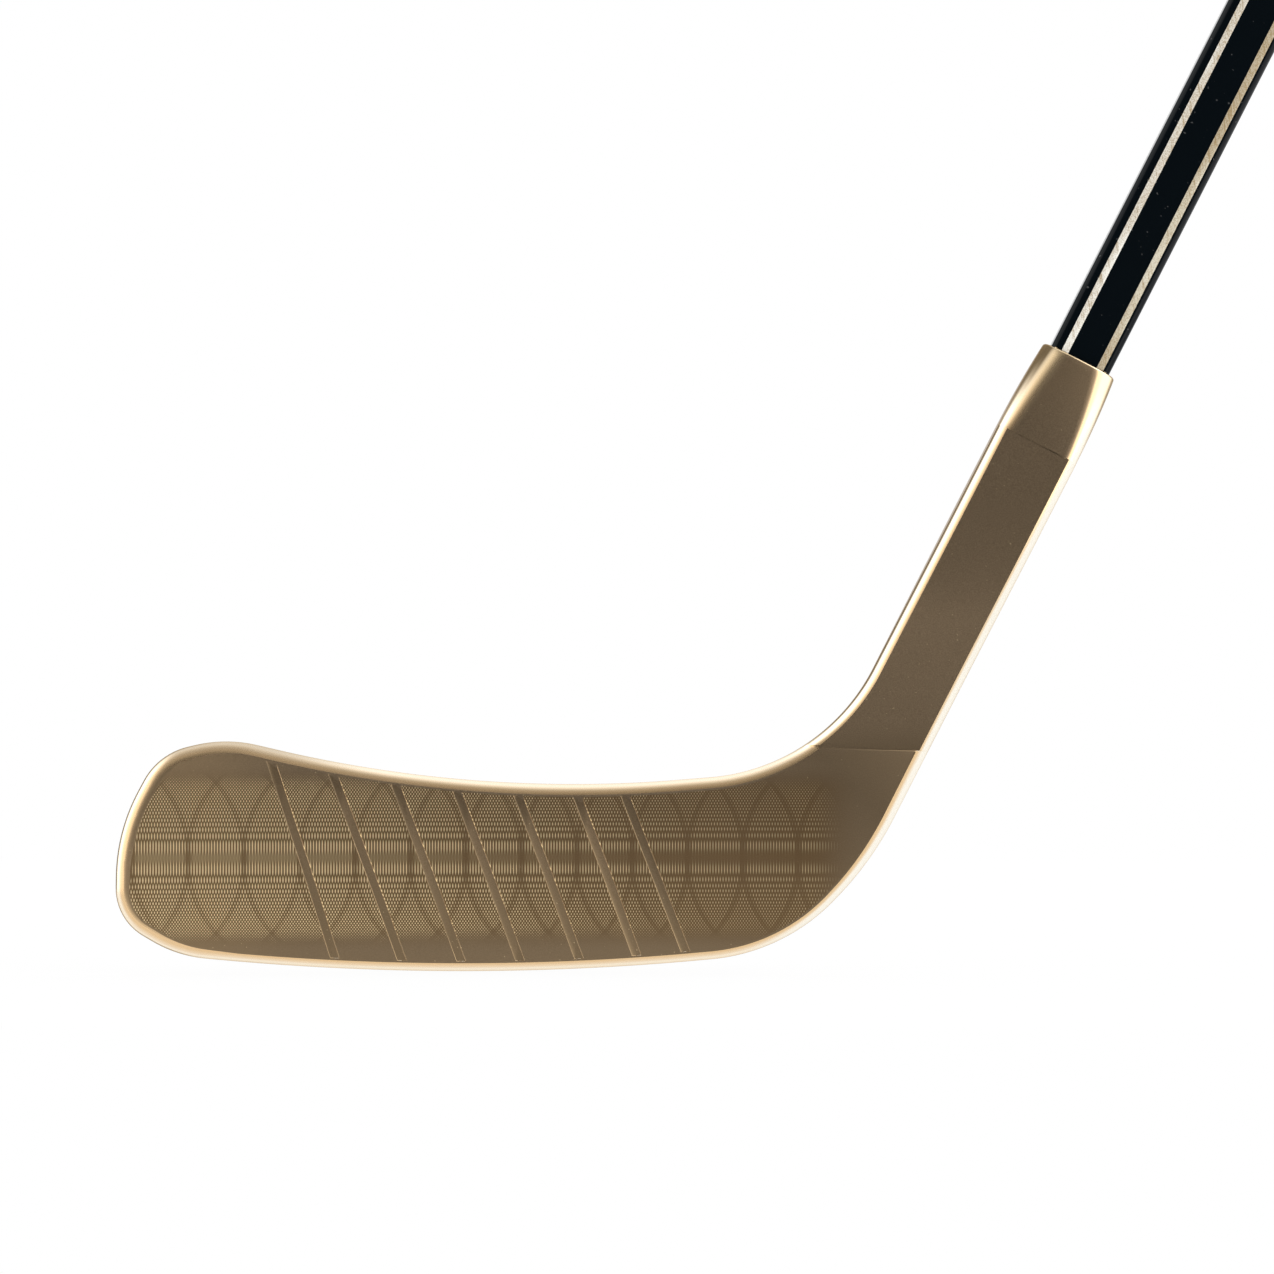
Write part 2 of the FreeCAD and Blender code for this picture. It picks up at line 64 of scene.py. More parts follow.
MM = 0.001
MID_HEIGHT = 49.4  # the height of the milled rows' middle, in millimetres
WELD = 1e-6
FINE_WELD = 1e-7
log = logging.getLogger("hockey_stick")


class Face(IntEnum):
    """The kinds of face on the blade; the value is the material slot."""

    MOULDED = 0
    MILLED = 1
    STRIP = 2


# ---- shader maths ------------------------------------------------------------------------------------

Number = Union[int, float]


class Value:
    """A number socket of a node tree that can be used in ordinary expressions."""

    def __init__(self, tree: "Shader", socket: bpy.types.NodeSocket) -> None:
        """Wrap a socket of a shader's tree."""
        self.tree = tree
        self.socket = socket

    def _maths(self, operation: str, *others: Union["Value", Number], flip: bool = False) -> "Value":
        """Add a Math node.

        Args:
            operation: the Math node's operation.
            others: the other operands.
            flip: whether this value comes second.

        Returns:
            The node's result.
        """
        terms: list[Union[Value, Number]] = [self, *others]
        if flip:
            terms.reverse()
        inputs = {i: term for i, term in enumerate(terms)}
        return self.tree.node("ShaderNodeMath", {"operation": operation}, inputs)

    def __add__(self, other: Union["Value", Number]) -> "Value":
        """Sum."""
        return self._maths("ADD", other)

    def __sub__(self, other: Union["Value", Number]) -> "Value":
        """Difference."""
        return self._maths("SUBTRACT", other)

    def __mul__(self, other: Union["Value", Number]) -> "Value":
        """Product."""
        return self._maths("MULTIPLY", other)

    def __truediv__(self, other: Union["Value", Number]) -> "Value":
        """Quotient."""
        return self._maths("DIVIDE", other)

    def __rsub__(self, other: Number) -> "Value":
        """Difference, reflected."""
        return self._maths("SUBTRACT", other, flip=True)

    __radd__ = __add__
    __rmul__ = __mul__

    def __abs__(self) -> "Value":
        """Size without sign."""
        return self._maths("ABSOLUTE")

    def root(self) -> "Value":
        """Square root."""
        return self._maths("SQRT")

    def cosine(self) -> "Value":
        """Cosine of an angle in radians."""
        return self._maths("COSINE")

    def fraction(self) -> "Value":
        """Fractional part."""
        return self._maths("FRACT")

    def least(self, other: Union["Value", Number]) -> "Value":
        """The smaller of two values."""
        return self._maths("MINIMUM", other)

    def most(self, other: Union["Value", Number]) -> "Value":
        """The larger of two values."""
        return self._maths("MAXIMUM", other)

    def ramp(self, low: Number, high: Number, start: Number = 0.0, end: Number = 1.0) -> "Value":
        """Map a range smoothly onto another.

        Args:
            low: where the ramp starts.
            high: where it ends; it may be below low.
            start: the result at low.
            end: the result at high.

        Returns:
            The mapped and clamped value.
        """
        if low > high:
            low, high, start, end = high, low, end, start
        settings = {"interpolation_type": "SMOOTHSTEP"}
        inputs = {"Value": self, "From Min": low, "From Max": high, "To Min": start, "To Max": end}
        return self.tree.node("ShaderNodeMapRange", settings, inputs)


class Shader:
    """A material's or world's node tree, with one way to add any node."""

    def __init__(self, owner: Union[bpy.types.Material, bpy.types.World]) -> None:
        """Start an empty tree on a material or world."""
        owner.use_nodes = True
        self.nodes = owner.node_tree.nodes
        self.links = owner.node_tree.links
        self.nodes.clear()

    def add(self, kind: str, settings: Optional[dict] = None,
            inputs: Optional[dict] = None) -> bpy.types.Node:
        """Add a node.

        Args:
            kind: the node's type.
            settings: properties of the node, set first.
            inputs: values or links by socket name or number.

        Returns:
            The node itself.
        """
        node = self.nodes.new(kind)
        for name, value in (settings or {}).items():
            setattr(node, name, value)
        for name, value in (inputs or {}).items():
            target = node.inputs[name]
            if isinstance(value, Value):
                self.links.new(value.socket, target)
            elif isinstance(value, bpy.types.NodeSocket):
                self.links.new(value, target)
            else:
                target.default_value = value
        return node

    def node(self, kind: str, settings: Optional[dict] = None, inputs: Optional[dict] = None,
             output: Union[str, int] = 0) -> Value:
        """Add a node and wrap one of its outputs."""
        return Value(self, self.add(kind, settings, inputs).outputs[output])

    def split(self, output: str) -> list[Value]:
        """The three numbers of one of the surface's coordinates."""
        vector = self.add("ShaderNodeTexCoord").outputs[output]
        return [Value(self, part) for part in self.add("ShaderNodeSeparateXYZ", inputs={0: vector}).outputs]

    def place(self) -> list[Value]:
        """The Object coordinates in millimetres."""
        return [part * (1 / MM) for part in self.split("Object")]

    def rays(self) -> list[Value]:
        """Whether a ray is the camera's own, a reflection, or light that went through."""
        path = self.add("ShaderNodeLightPath")
        return [Value(self, path.outputs[f"Is {kind} Ray"]) for kind in ("Camera", "Glossy", "Transmission")]

    @staticmethod
    def beside(x: Value, z: Value, line: "ShaftLine") -> tuple[Value, Value]:
        """A place's length along the shaft's axis and its distance across it, in millimetres."""
        away = x - line.foot.x / MM
        return away * line.along.x + z * line.along.z, away * line.along.z - z * line.along.x

    def vector(self, x: Union[Value, Number], y: Union[Value, Number], z: Union[Value, Number]) -> Value:
        """Join three numbers into a vector."""
        return self.node("ShaderNodeCombineXYZ", inputs={0: x, 1: y, 2: z})

    def noise(self, vector: Value, scale: float, detail: float) -> Value:
        """A noise between 0 and 1 at a scale per unit of the vector."""
        inputs = {"Vector": vector, "Scale": scale, "Detail": detail}
        return self.node("ShaderNodeTexNoise", inputs=inputs, output="Fac")

    def blend(self, factor: Union[Value, Number], first: Union[Value, tuple],
              second: Union[Value, tuple]) -> Value:
        """Mix two colours.

        Args:
            factor: the second colour's share.
            first: one colour.
            second: the other colour.

        Returns:
            The mixed colour.
        """
        colours = [(*c, 1.0) if isinstance(c, tuple) else c for c in (first, second)]
        settings = {"data_type": "RGBA", "blend_type": "MIX"}
        return self.node("ShaderNodeMix", settings, {0: factor, 6: colours[0], 7: colours[1]}, output=2)

    def bump(self, height: Value, strength: float) -> Value:
        """A normal that follows a height in millimetres."""
        inputs = {"Height": height, "Strength": strength, "Distance": MM}
        return self.node("ShaderNodeBump", inputs=inputs)

    def finish(self, **sockets: Union[Value, Number, tuple]) -> None:
        """Close the tree with a Principled surface.

        Args:
            sockets: values by the socket's name, with an underscore for each space.
        """
        inputs = {name.replace("_", " "): value for name, value in sockets.items()}
        surface = self.add("ShaderNodeBsdfPrincipled", inputs=inputs)
        self.add("ShaderNodeOutputMaterial", inputs={"Surface": surface.outputs[0]})


# ---- the stick's line --------------------------------------------------------------------------------

@dataclass(frozen=True)
class ShaftLine:
    """The shaft's axis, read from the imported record's butt mount."""

    foot: Vector
    along: Vector
    length: float

    @classmethod
    def from_record(cls, record: dict) -> "ShaftLine":
        """Read the axis from the record.

        Args:
            record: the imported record.

        Returns:
            The axis, with its foot on the ice and its length to the butt.
        """
        butt = next(mount for mount in record["mounts"] if mount["name"] == "butt_end")
        along = Vector(butt["axis"]).normalized()
        end = Vector(butt["pos_m"])
        length = end.z / along.z
        return cls(end - along * length, along, length)

    @property
    def across(self) -> Vector:
        """The direction across the shaft, towards the heel side."""
        return Vector((self.along.z, 0.0, -self.along.x))

    def at(self, station: float, offset: float = 0.0, depth: float = 0.0) -> Vector:
        """A point by its length along the axis, its place across it and its depth."""
        return self.foot + self.along * station + self.across * offset + Vector((0.0, depth, 0.0))

# ---- finishes ----------------------------------------------------------------------------------------

@dataclass(frozen=True)
class Fade:
    """An effect that grows smoothly from nothing at one measure to its full share at another."""

    start: float
    full: float
    share: float = 1.0

    def of(self, measure: Value) -> Value:
        """The effect at a measure."""
        return measure.ramp(self.start, self.full, 0.0, self.share)


@dataclass(frozen=True)
class MilledGrip:
    """Two families of overlapping cutter arcs that cross into rows of short dashes lit by a painted
    highlight, in millimetres.
    """

    level: float = MID_HEIGHT
    cutter_radius: float = 49.0
    pitch: float = 1.25
    group: float = 23.92
    group_start: float = -117.0
    gap: float = 0.105
    gap_start: float = 0.5
    gap_end: float = 1.4
    gap_low: float = 0.65
    reach: Fade = Fade(40.3, 27.8)
    heel: Fade = Fade(175.0, 150.0)
    middle_band: tuple = (5.2, 3.6)
    middle_lines: tuple = (0.02, 0.17)

    def _family(self, centre: Value, offset: float) -> Value:
        """The ridges of one family of arcs, with its smooth gaps between groups.

        Args:
            centre: the cutter's centre along the blade.
            offset: the family's shift along the blade.

        Returns:
            A value that is 1 on a ridge and 0 in a groove or gap.
        """
        ridge = ((centre - offset) * (2 * math.pi / self.pitch)).cosine() * 0.5 + 0.5
        in_group = ((centre - offset) / self.group + self.gap / 2).fraction()
        return ridge * in_group.ramp(self.gap * self.gap_start, self.gap * self.gap_end, self.gap_low, 1.0)

    def dashes(self, shader: Shader, x: Value, z: Value) -> tuple[Value, Value]:
        """The crossing ridges.

        Args:
            shader: the tree to add to.
            x: place along the blade in millimetres.
            z: height in millimetres.

        Returns:
            The strength of the bright dashes and the mask of the milled field.
        """
        rise = z - self.level
        square = self.cutter_radius ** 2
        sagitta = (square - (rise * rise).least(square - 1)).root()
        first = self._family(x + sagitta, self.group_start + self.cutter_radius)
        second = self._family(x - sagitta, self.group_start - self.cutter_radius + self.pitch / 2)
        lines = first.most(second) * abs(rise).ramp(*self.middle_band, *self.middle_lines)
        return first * second + lines, self.reach.of(abs(rise)) * self.heel.of(x)


@dataclass(frozen=True)
class GoldFinish:
    """Metallic lacquer on the blade moulding: satin bronze on the flats, partly their own tone and partly
    painted shade, and lighter gold where they round off, as painted light.

    Colours come first. The fades named for a direction go by how far the surface faces the front or back,
    its side or upwards. The other fades go by millimetres along the blade or in height, or by a noise.
    """

    flat_light: tuple = (0.45, 0.325, 0.203)
    flat_dark: tuple = (0.31, 0.222, 0.138)
    # The roundings' colours are painted light and shade: round_light is a painted highlight over round_dark,
    # the next colour a painted highlight on the heel side, then a dimmer highlight near the mouth, painted
    # shade near the mouth, and painted shade on the outer edge.
    round_light: tuple = (1.0, 0.88, 0.70)
    round_dark: tuple = (0.80, 0.545, 0.285)
    heel_highlight: tuple = (1.0, 0.95, 0.84)
    collar: tuple = (0.72, 0.55, 0.32)
    rim_shade: tuple = (0.085, 0.06, 0.032)
    edge: tuple = (0.30, 0.215, 0.12)
    grazing: tuple = (0.70, 0.59, 0.46, 1.0)
    # The dashes' colour is a painted highlight, and the specks use it too; the groove colour is partly
    # painted shade.
    dash_highlight: tuple = (1.0, 0.77, 0.44)
    groove: tuple = (0.19, 0.106, 0.037)
    shade: tuple = (0.22, 0.155, 0.085)
    metallic: float = 0.94
    roughness: float = 0.34
    grain_roughness: float = 0.08
    burnish: float = 0.17
    grain_scale: float = 2.2
    grain_tone: Fade = Fade(0.25, 0.75, 0.75)
    grain_height: float = 0.012
    cloud_scale: float = 0.02
    cloud_tone: float = 0.35
    cloud_gleam: float = 0.12
    tone_shift: float = 0.05
    speck_scale: float = 0.9
    specks: Fade = Fade(0.755, 0.79, 0.55)
    rounding: Fade = Fade(0.992, 0.95)
    upwards: Fade = Fade(0.3, 0.65)
    mouth: Fade = Fade(-42.0, -4.0)
    mouth_painted_light: float = 0.12
    mouth_highlight_dimming: float = 0.72
    toe_painted_light: Fade = Fade(-60, -120, 0.3)
    sole_shade: Fade = Fade(62, 12)
    heel_shade: Fade = Fade(110, 175, 0.8)
    heel_shade_top: Fade = Fade(110, 92)
    shade_share: float = 0.55
    gleam_facing: Fade = Fade(0.93, 0.78)
    gleam_turned: Fade = Fade(0.30, 0.60)
    gleam_upright: Fade = Fade(0.93, 0.64)
    gleam_side: Fade = Fade(0.25, 0.6, 0.7)
    gleam_share: float = 0.92
    heel_highlight_side: Fade = Fade(0.15, 0.5)
    heel_highlight_facing: Fade = Fade(0.95, 0.8)
    shade_toe_facing: Fade = Fade(0.92, 0.74)
    shade_toe_side: Fade = Fade(0.0, -0.3)
    shade_heel_facing: Fade = Fade(0.70, 0.35)
    shade_heel_side: Fade = Fade(0.0, 0.3, 0.45)
    edge_shade_facing: Fade = Fade(0.66, 0.38, 0.9)
    edge_shade_side: Fade = Fade(0.05, -0.35)
    edge_shade_toe: Fade = Fade(-60, -95)
    edge_shade_neck: Fade = Fade(85, 110)
    crest_shade_facing: Fade = Fade(0.97, 0.85, 0.5)
    crest_shade_height: Fade = Fade(70, 90)
    crest_shade_toe: Fade = Fade(-30, -85)
    milled_shade: float = 0.62
    dash_fade: Fade = Fade(0.10, 0.62)
    dash_run: tuple = (-110, 150)
    dash_strength: tuple = (1.0, 0.45)
    dash_height: float = 0.12
    bump: float = 0.35
    grip: Optional[MilledGrip] = None

    def make(self, name: str, line: ShaftLine, mouth: float) -> bpy.types.Material:
        """Build the finish.

        Args:
            name: the material's name.
            line: the shaft's axis.
            mouth: the station of the socket's mouth, towards which the gold deepens.

        Returns:
            The material.
        """
        material = bpy.data.materials.new(name)
        shader = Shader(material)
        x, y, z = shader.place()
        spot = shader.vector(x, y, z)
        along, _ = shader.beside(x, z, line)
        near_mouth = self.mouth.of(along - mouth / MM)
        grain = shader.noise(spot, self.grain_scale, detail=2.0)
        cloud = shader.noise(spot, self.cloud_scale, detail=3.0)
        specks = self.specks.of(shader.noise(spot, self.speck_scale, detail=1.0))
        tone = self.grain_tone.of(grain) + cloud * self.cloud_tone - self.tone_shift
        side, facing, upright = shader.split("Normal")
        rounded = self.rounding.of(abs(facing))
        flat = shader.blend(specks, self._flat(shader, x, z, tone, near_mouth), self.dash_highlight)
        rim_light_and_shade = self._rim_light_and_shade(shader, (x, z), (side, abs(facing), abs(upright)), cloud, near_mouth)
        height = grain * (1 - rounded) * self.grain_height
        if self.grip:
            dash_highlight, mask = self.grip.dashes(shader, x, z)
            bright = dash_highlight * mask * x.ramp(*self.dash_run, *self.dash_strength)
            # The milled field is darkened towards the groove colour: partly the pattern's own tone, partly
            # painted shade in its grooves.
            flat = shader.blend(mask * self.milled_shade, flat, self.groove)
            # Painted highlight: the crossing ridges are lightened into bright dashes.
            flat = shader.blend(self.dash_fade.of(bright), flat, self.dash_highlight)
            height = height + bright * self.dash_height
        roughness = grain * self.grain_roughness + self.roughness - rounded * self.burnish
        # The roundings take their painted light and shade, the flats keep the bronze.
        shader.finish(Base_Color=shader.blend(rounded, flat, rim_light_and_shade), Metallic=self.metallic,
                      Roughness=roughness, Specular_Tint=self.grazing, Normal=shader.bump(height, self.bump))
        return material

    def _flat(self, shader: Shader, x: Value, z: Value, tone: Value, near_mouth: Value) -> Value:
        """The bronze of the flat faces, with painted light towards the toe and mouth and painted shade at the
        sole and heel.

        Args:
            shader: the tree to add to.
            x: place along the blade in millimetres.
            z: height in millimetres.
            tone: how light the bronze is.
            near_mouth: how near the socket's mouth is.

        Returns:
            The colour.
        """
        colour = shader.blend(tone, self.flat_dark, self.flat_light)
        # Painted light: the flats are lightened towards the toe and the socket's mouth.
        painted_light = (near_mouth * self.mouth_painted_light).most(self.toe_painted_light.of(x))
        colour = shader.blend(painted_light, colour, self.round_dark)
        # Painted shade: the flats are darkened at the sole and low down towards the heel.
        shaded = self.sole_shade.of(z).most(self.heel_shade.of(x) * self.heel_shade_top.of(z))
        return shader.blend(shaded * self.shade_share, colour, self.shade)

    def _rim_light_and_shade(self, shader: Shader, place: tuple[Value, Value], normal: tuple[Value, Value, Value],
                   cloud: Value, near_mouth: Value) -> Value:
        """The gold of the roundings with painted light and shade: a painted highlight along the middle of the
        rim and on its heel side, and painted shade on its outer edge, on the toe's crest and near the mouth.

        Args:
            shader: the tree to add to.
            place: place along the blade and height in millimetres.
            normal: how far the surface faces the heel side, the front or back, and up or down.
            cloud: a slow noise.
            near_mouth: how near the socket's mouth is.

        Returns:
            The colour.
        """
        x, z = place
        side, facing, upright = normal
        upright = self.upwards.of(upright)
        # Painted highlight: a gleam along the middle of the roll lightens the gold from round_dark towards
        # round_light.
        gleam = self.gleam_facing.of(facing) * self.gleam_turned.of(facing) * (1 - upright)
        gleam = gleam + self.gleam_upright.of(facing) * upright + self.gleam_side.of(side)
        gleam = (gleam * self.gleam_share + cloud * self.cloud_gleam).least(1)
        colour = shader.blend(gleam, self.round_dark, self.round_light)
        # Painted highlight: the rim turned to the heel side is whitened as if lit from that side.
        colour = shader.blend(self.heel_highlight_side.of(side) * self.heel_highlight_facing.of(facing), colour, self.heel_highlight)
        # Painted light: near the socket's mouth the rim's highlight is dimmed to a deeper gold.
        colour = shader.blend(near_mouth * self.mouth_highlight_dimming, colour, self.collar)
        # Painted shade on the outer part of the roundings near the mouth.
        shaded = self.shade_toe_facing.of(facing) * self.shade_toe_side.of(side)
        shaded = shaded + self.shade_heel_facing.of(facing) * self.shade_heel_side.of(side)
        colour = shader.blend(shaded * near_mouth, colour, self.rim_shade)
        # Painted shade: the outermost part of the rim on the toe side and on the neck is darkened to tan.
        tan = self.edge_shade_facing.of(facing) * self.edge_shade_side.of(side)
        tan = tan * self.edge_shade_toe.of(x).most(self.edge_shade_neck.of(z))
        colour = shader.blend(tan, colour, self.edge)
        # Painted shade: the top rim over the toe is darkened the same way.
        crest = self.crest_shade_facing.of(facing) * upright * self.crest_shade_height.of(z) * self.crest_shade_toe.of(x)
        return shader.blend(crest, colour, self.edge)


@dataclass(frozen=True)
class LacquerFinish:
    """Gloss black lacquer over the shaft's glass wrap, with a little dust on it."""

    black: tuple = (0.0022, 0.0040, 0.0056)
    dust: tuple = (0.10, 0.10, 0.10)
    dust_scale: float = 0.50
    dust_fade: Fade = Fade(0.745, 0.78)
    dust_share: float = 0.6
    dust_roughness: float = 0.3
    smear_scale: float = 0.03
    smear_roughness: float = 0.10
    roughness: float = 0.06
    peel_scale: float = 0.35
    peel_height: float = 0.02
    bump: float = 0.2
    gloss: float = 0.15

    def make(self, name: str) -> bpy.types.Material:
        """Build the finish.

        Args:
            name: the material's name.

        Returns:
            The material.
        """
        material = bpy.data.materials.new(name)
        shader = Shader(material)
        spot = shader.vector(*shader.place())
        peel = shader.noise(spot, self.peel_scale, detail=2.0)
        dust = self.dust_fade.of(shader.noise(spot, self.dust_scale, detail=1.0))
        smear = shader.noise(spot, self.smear_scale, detail=3.0)
        roughness = smear * self.smear_roughness + dust * self.dust_roughness + self.roughness
        shader.finish(Base_Color=shader.blend(dust * self.dust_share, self.black, self.dust),
                      Roughness=roughness, Metallic=0.0, IOR=1.45, Specular_IOR_Level=self.gloss,
                      Normal=shader.bump(peel * self.peel_height, self.bump))
        return material


@dataclass(frozen=True)
class FoilFinish:
    """Pale gold foil stripes, hot stamped, with a slow drift from cream to tan along the shaft."""

    cream: tuple = (0.85, 0.80, 0.65)
    tan: tuple = (0.43, 0.31, 0.16)
    # A shift of the tone towards tan as painted shade, or below zero towards cream as painted light.
    painted_shade_shift: float = 0.0
    drift: Fade = Fade(0.36, 0.60, 0.7)
    drift_along: float = 0.012
    drift_across: float = 0.05
    ticks: Fade = Fade(0.52, 0.68, 0.45)
    tick_slant: float = 1.4
    tick_along: float = 0.75
    tick_across: float = 0.15
    tick_roughness: float = 0.16
    tick_height: float = 0.03
    flecks: Fade = Fade(0.42, 0.66, 0.5)
    fleck_scale: float = 2.4
    fleck_roughness: float = 0.12
    fleck_height: float = 0.02
    tone_shift: float = 0.28
    roughness: float = 0.20
    metallic: float = 0.1
    bump: float = 0.3

    def make(self, name: str, line: ShaftLine) -> bpy.types.Material:
        """Build the finish.

        Args:
            name: the material's name.
            line: the shaft's axis, which the foil's marks follow.

        Returns:
            The material.
        """
        material = bpy.data.materials.new(name)
        shader = Shader(material)
        x, y, z = shader.place()
        along, across = shader.beside(x, z, line)
        slow = shader.vector(along * self.drift_along, across * self.drift_across, y * self.drift_across)
        drift = shader.noise(slow, 1.0, detail=3.0)
        slanted = (along + across * self.tick_slant) * self.tick_along
        ticks = shader.noise(shader.vector(slanted, across * self.tick_across, y), 1.0, detail=2.0)
        fleck = shader.noise(shader.vector(x, y, z), self.fleck_scale, detail=2.0)
        tone = self.drift.of(drift) + self.ticks.of(ticks) + self.flecks.of(fleck)
        tone = tone + self.painted_shade_shift - self.tone_shift
        roughness = ticks * self.tick_roughness + fleck * self.fleck_roughness + self.roughness
        height = ticks * self.tick_height + fleck * self.fleck_height
        shader.finish(Base_Color=shader.blend(tone, self.cream, self.tan), Metallic=self.metallic,
                      Roughness=roughness, Normal=shader.bump(height, self.bump))
        return material


@dataclass(frozen=True)
class WoodFinish:
    """Sawn wood with its grain along the shaft."""

    light: tuple
    dark: tuple
    ring: float
    ring_slant: float = 0.4
    ring_share: float = 0.6
    ring_height: float = 0.03
    warp_along: float = 0.01
    warp_across: float = 0.2
    warp_size: float = 4.0
    pore_along: float = 0.12
    pore_across: float = 3.0
    pore_share: float = 0.6
    pore_roughness: float = 0.2
    pore_height: float = 0.08
    tone_shift: float = 0.1
    roughness: float = 0.5
    bump: float = 0.4

    def make(self, name: str, line: ShaftLine) -> bpy.types.Material:
        """Build the finish.

        Args:
            name: the material's name.
            line: the shaft's axis, which the grain follows.

        Returns:
            The material.
        """
        material = bpy.data.materials.new(name)
        shader = Shader(material)
        x, y, z = shader.place()
        along, across = shader.beside(x, z, line)
        slow = shader.vector(along * self.warp_along, across * self.warp_across, y * self.warp_across)
        depth = y + across * self.ring_slant + shader.noise(slow, 1.0, detail=3.0) * self.warp_size
        rings = (depth * (2 * math.pi / self.ring)).cosine() * 0.5 + 0.5
        fine = shader.vector(along * self.pore_along, across * self.pore_across, y * self.pore_across)
        pores = shader.noise(fine, 1.0, detail=3.0)
        tone = rings * self.ring_share + pores * self.pore_share - self.tone_shift
        height = pores * self.pore_height + rings * self.ring_height
        shader.finish(Base_Color=shader.blend(tone, self.light, self.dark), Metallic=0.0,
                      Roughness=pores * self.pore_roughness + self.roughness,
                      Normal=shader.bump(height, self.bump))
        return material


@dataclass(frozen=True)
class ResinFinish:
    """Cured resin over woven threads."""

    colour: tuple
    thread: tuple
    weave: float
    cloud_scale: float = 0.6
    thread_share: float = 0.7
    cloud_share: float = 0.3
    cloud_roughness: float = 0.2
    roughness: float = 0.2
    thread_height: float = 0.05
    bump: float = 0.3

    def make(self, name: str, line: ShaftLine) -> bpy.types.Material:
        """Build the finish.

        Args:
            name: the material's name.
            line: the shaft's axis, which the weave follows.

        Returns:
            The material.
        """
        material = bpy.data.materials.new(name)
        shader = Shader(material)
        x, y, z = shader.place()
        along, across = shader.beside(x, z, line)
        turn = 2 * math.pi / self.weave
        threads = ((along * turn).cosine() * (across * turn).cosine()) * 0.5 + 0.5
        cloud = shader.noise(shader.vector(x, y, z), self.cloud_scale, detail=3.0)
        tone = threads * self.thread_share + cloud * self.cloud_share
        shader.finish(Base_Color=shader.blend(tone, self.colour, self.thread), Metallic=0.0,
                      Roughness=cloud * self.cloud_roughness + self.roughness,
                      Normal=shader.bump(threads * self.thread_height, self.bump))
        return material


GOLD_STRIP = GoldFinish(flat_light=(0.37, 0.262, 0.155), flat_dark=(0.26, 0.182, 0.105))
# Painted light and shade on the foil: most stripes get a shift towards tan, while the front stripe on the toe
# side gets a lighter cream and a shift towards it.
GOLD_FOIL = FoilFinish(painted_shade_shift=0.12)
PAINTED_LIGHT_FOIL = FoilFinish(cream=(1.0, 0.97, 0.88), painted_shade_shift=-0.1)
BIRCH = WoodFinish(light=(0.60, 0.43, 0.26), dark=(0.42, 0.27, 0.14), ring=2.2)
POPLAR = WoodFinish(light=(0.66, 0.55, 0.38), dark=(0.50, 0.39, 0.24), ring=3.0)
GLASS_SHEET = ResinFinish(colour=(0.30, 0.33, 0.30), thread=(0.55, 0.58, 0.52), weave=1.6)
EPOXY = ResinFinish(colour=(0.34, 0.27, 0.15), thread=(0.46, 0.38, 0.22), weave=3.5)


# ---- mesh helpers ------------------------------------------------------------------------------------

def make_piece(bm: bmesh.types.BMesh, name: str, materials: Sequence[bpy.types.Material]) -> bpy.types.Object:
    """Turn a bmesh into an object of the scene.

    Args:
        bm: the mesh, which is freed.
        name: the object's name.
        materials: its material slots.

    Returns:
        The new object, at the origin.
    """
    for face in bm.faces:
        face.smooth = True
    mesh = bpy.data.meshes.new(name)
    bm.to_mesh(mesh)
    bm.free()
    for material in materials:
        mesh.materials.append(material)
    piece = bpy.data.objects.new(name, mesh)
    bpy.context.scene.collection.objects.link(piece)
    return piece


def cut(bm: bmesh.types.BMesh, point: Vector, normal: Vector, faces: Optional[list] = None,
        drop: bool = False) -> list:
    """Cut a mesh with a plane.

    Args:
        bm: the mesh.
        point: a point of the plane.
        normal: the plane's normal.
        faces: the faces to cut; all when left out.
        drop: whether what lies on the normal's side is deleted.

    Returns:
        The edges made by the cut.
    """
    faces = faces if faces is not None else list(bm.faces)
    edges = list({edge for face in faces for edge in face.edges})
    verts = list({vert for face in faces for vert in face.verts})
    result = bmesh.ops.bisect_plane(bm, geom=verts + edges + faces, dist=FINE_WELD, plane_co=point,
                                    plane_no=normal, clear_outer=drop)
    return [item for item in result["geom_cut"] if isinstance(item, bmesh.types.BMEdge)]


def passed(value: float, zone: tuple[float, float]) -> float:
    """How far a value has passed through a zone, from 0 at its start to 1 at its end."""
    start, end = zone
    return min(1.0, max(0.0, (value - start) / (end - start)))


@dataclass(frozen=True)
class Corner:
    """A corner of an outline and the radius that rounds it, in metres."""

    x: float
    z: float
    radius: float = 0.0


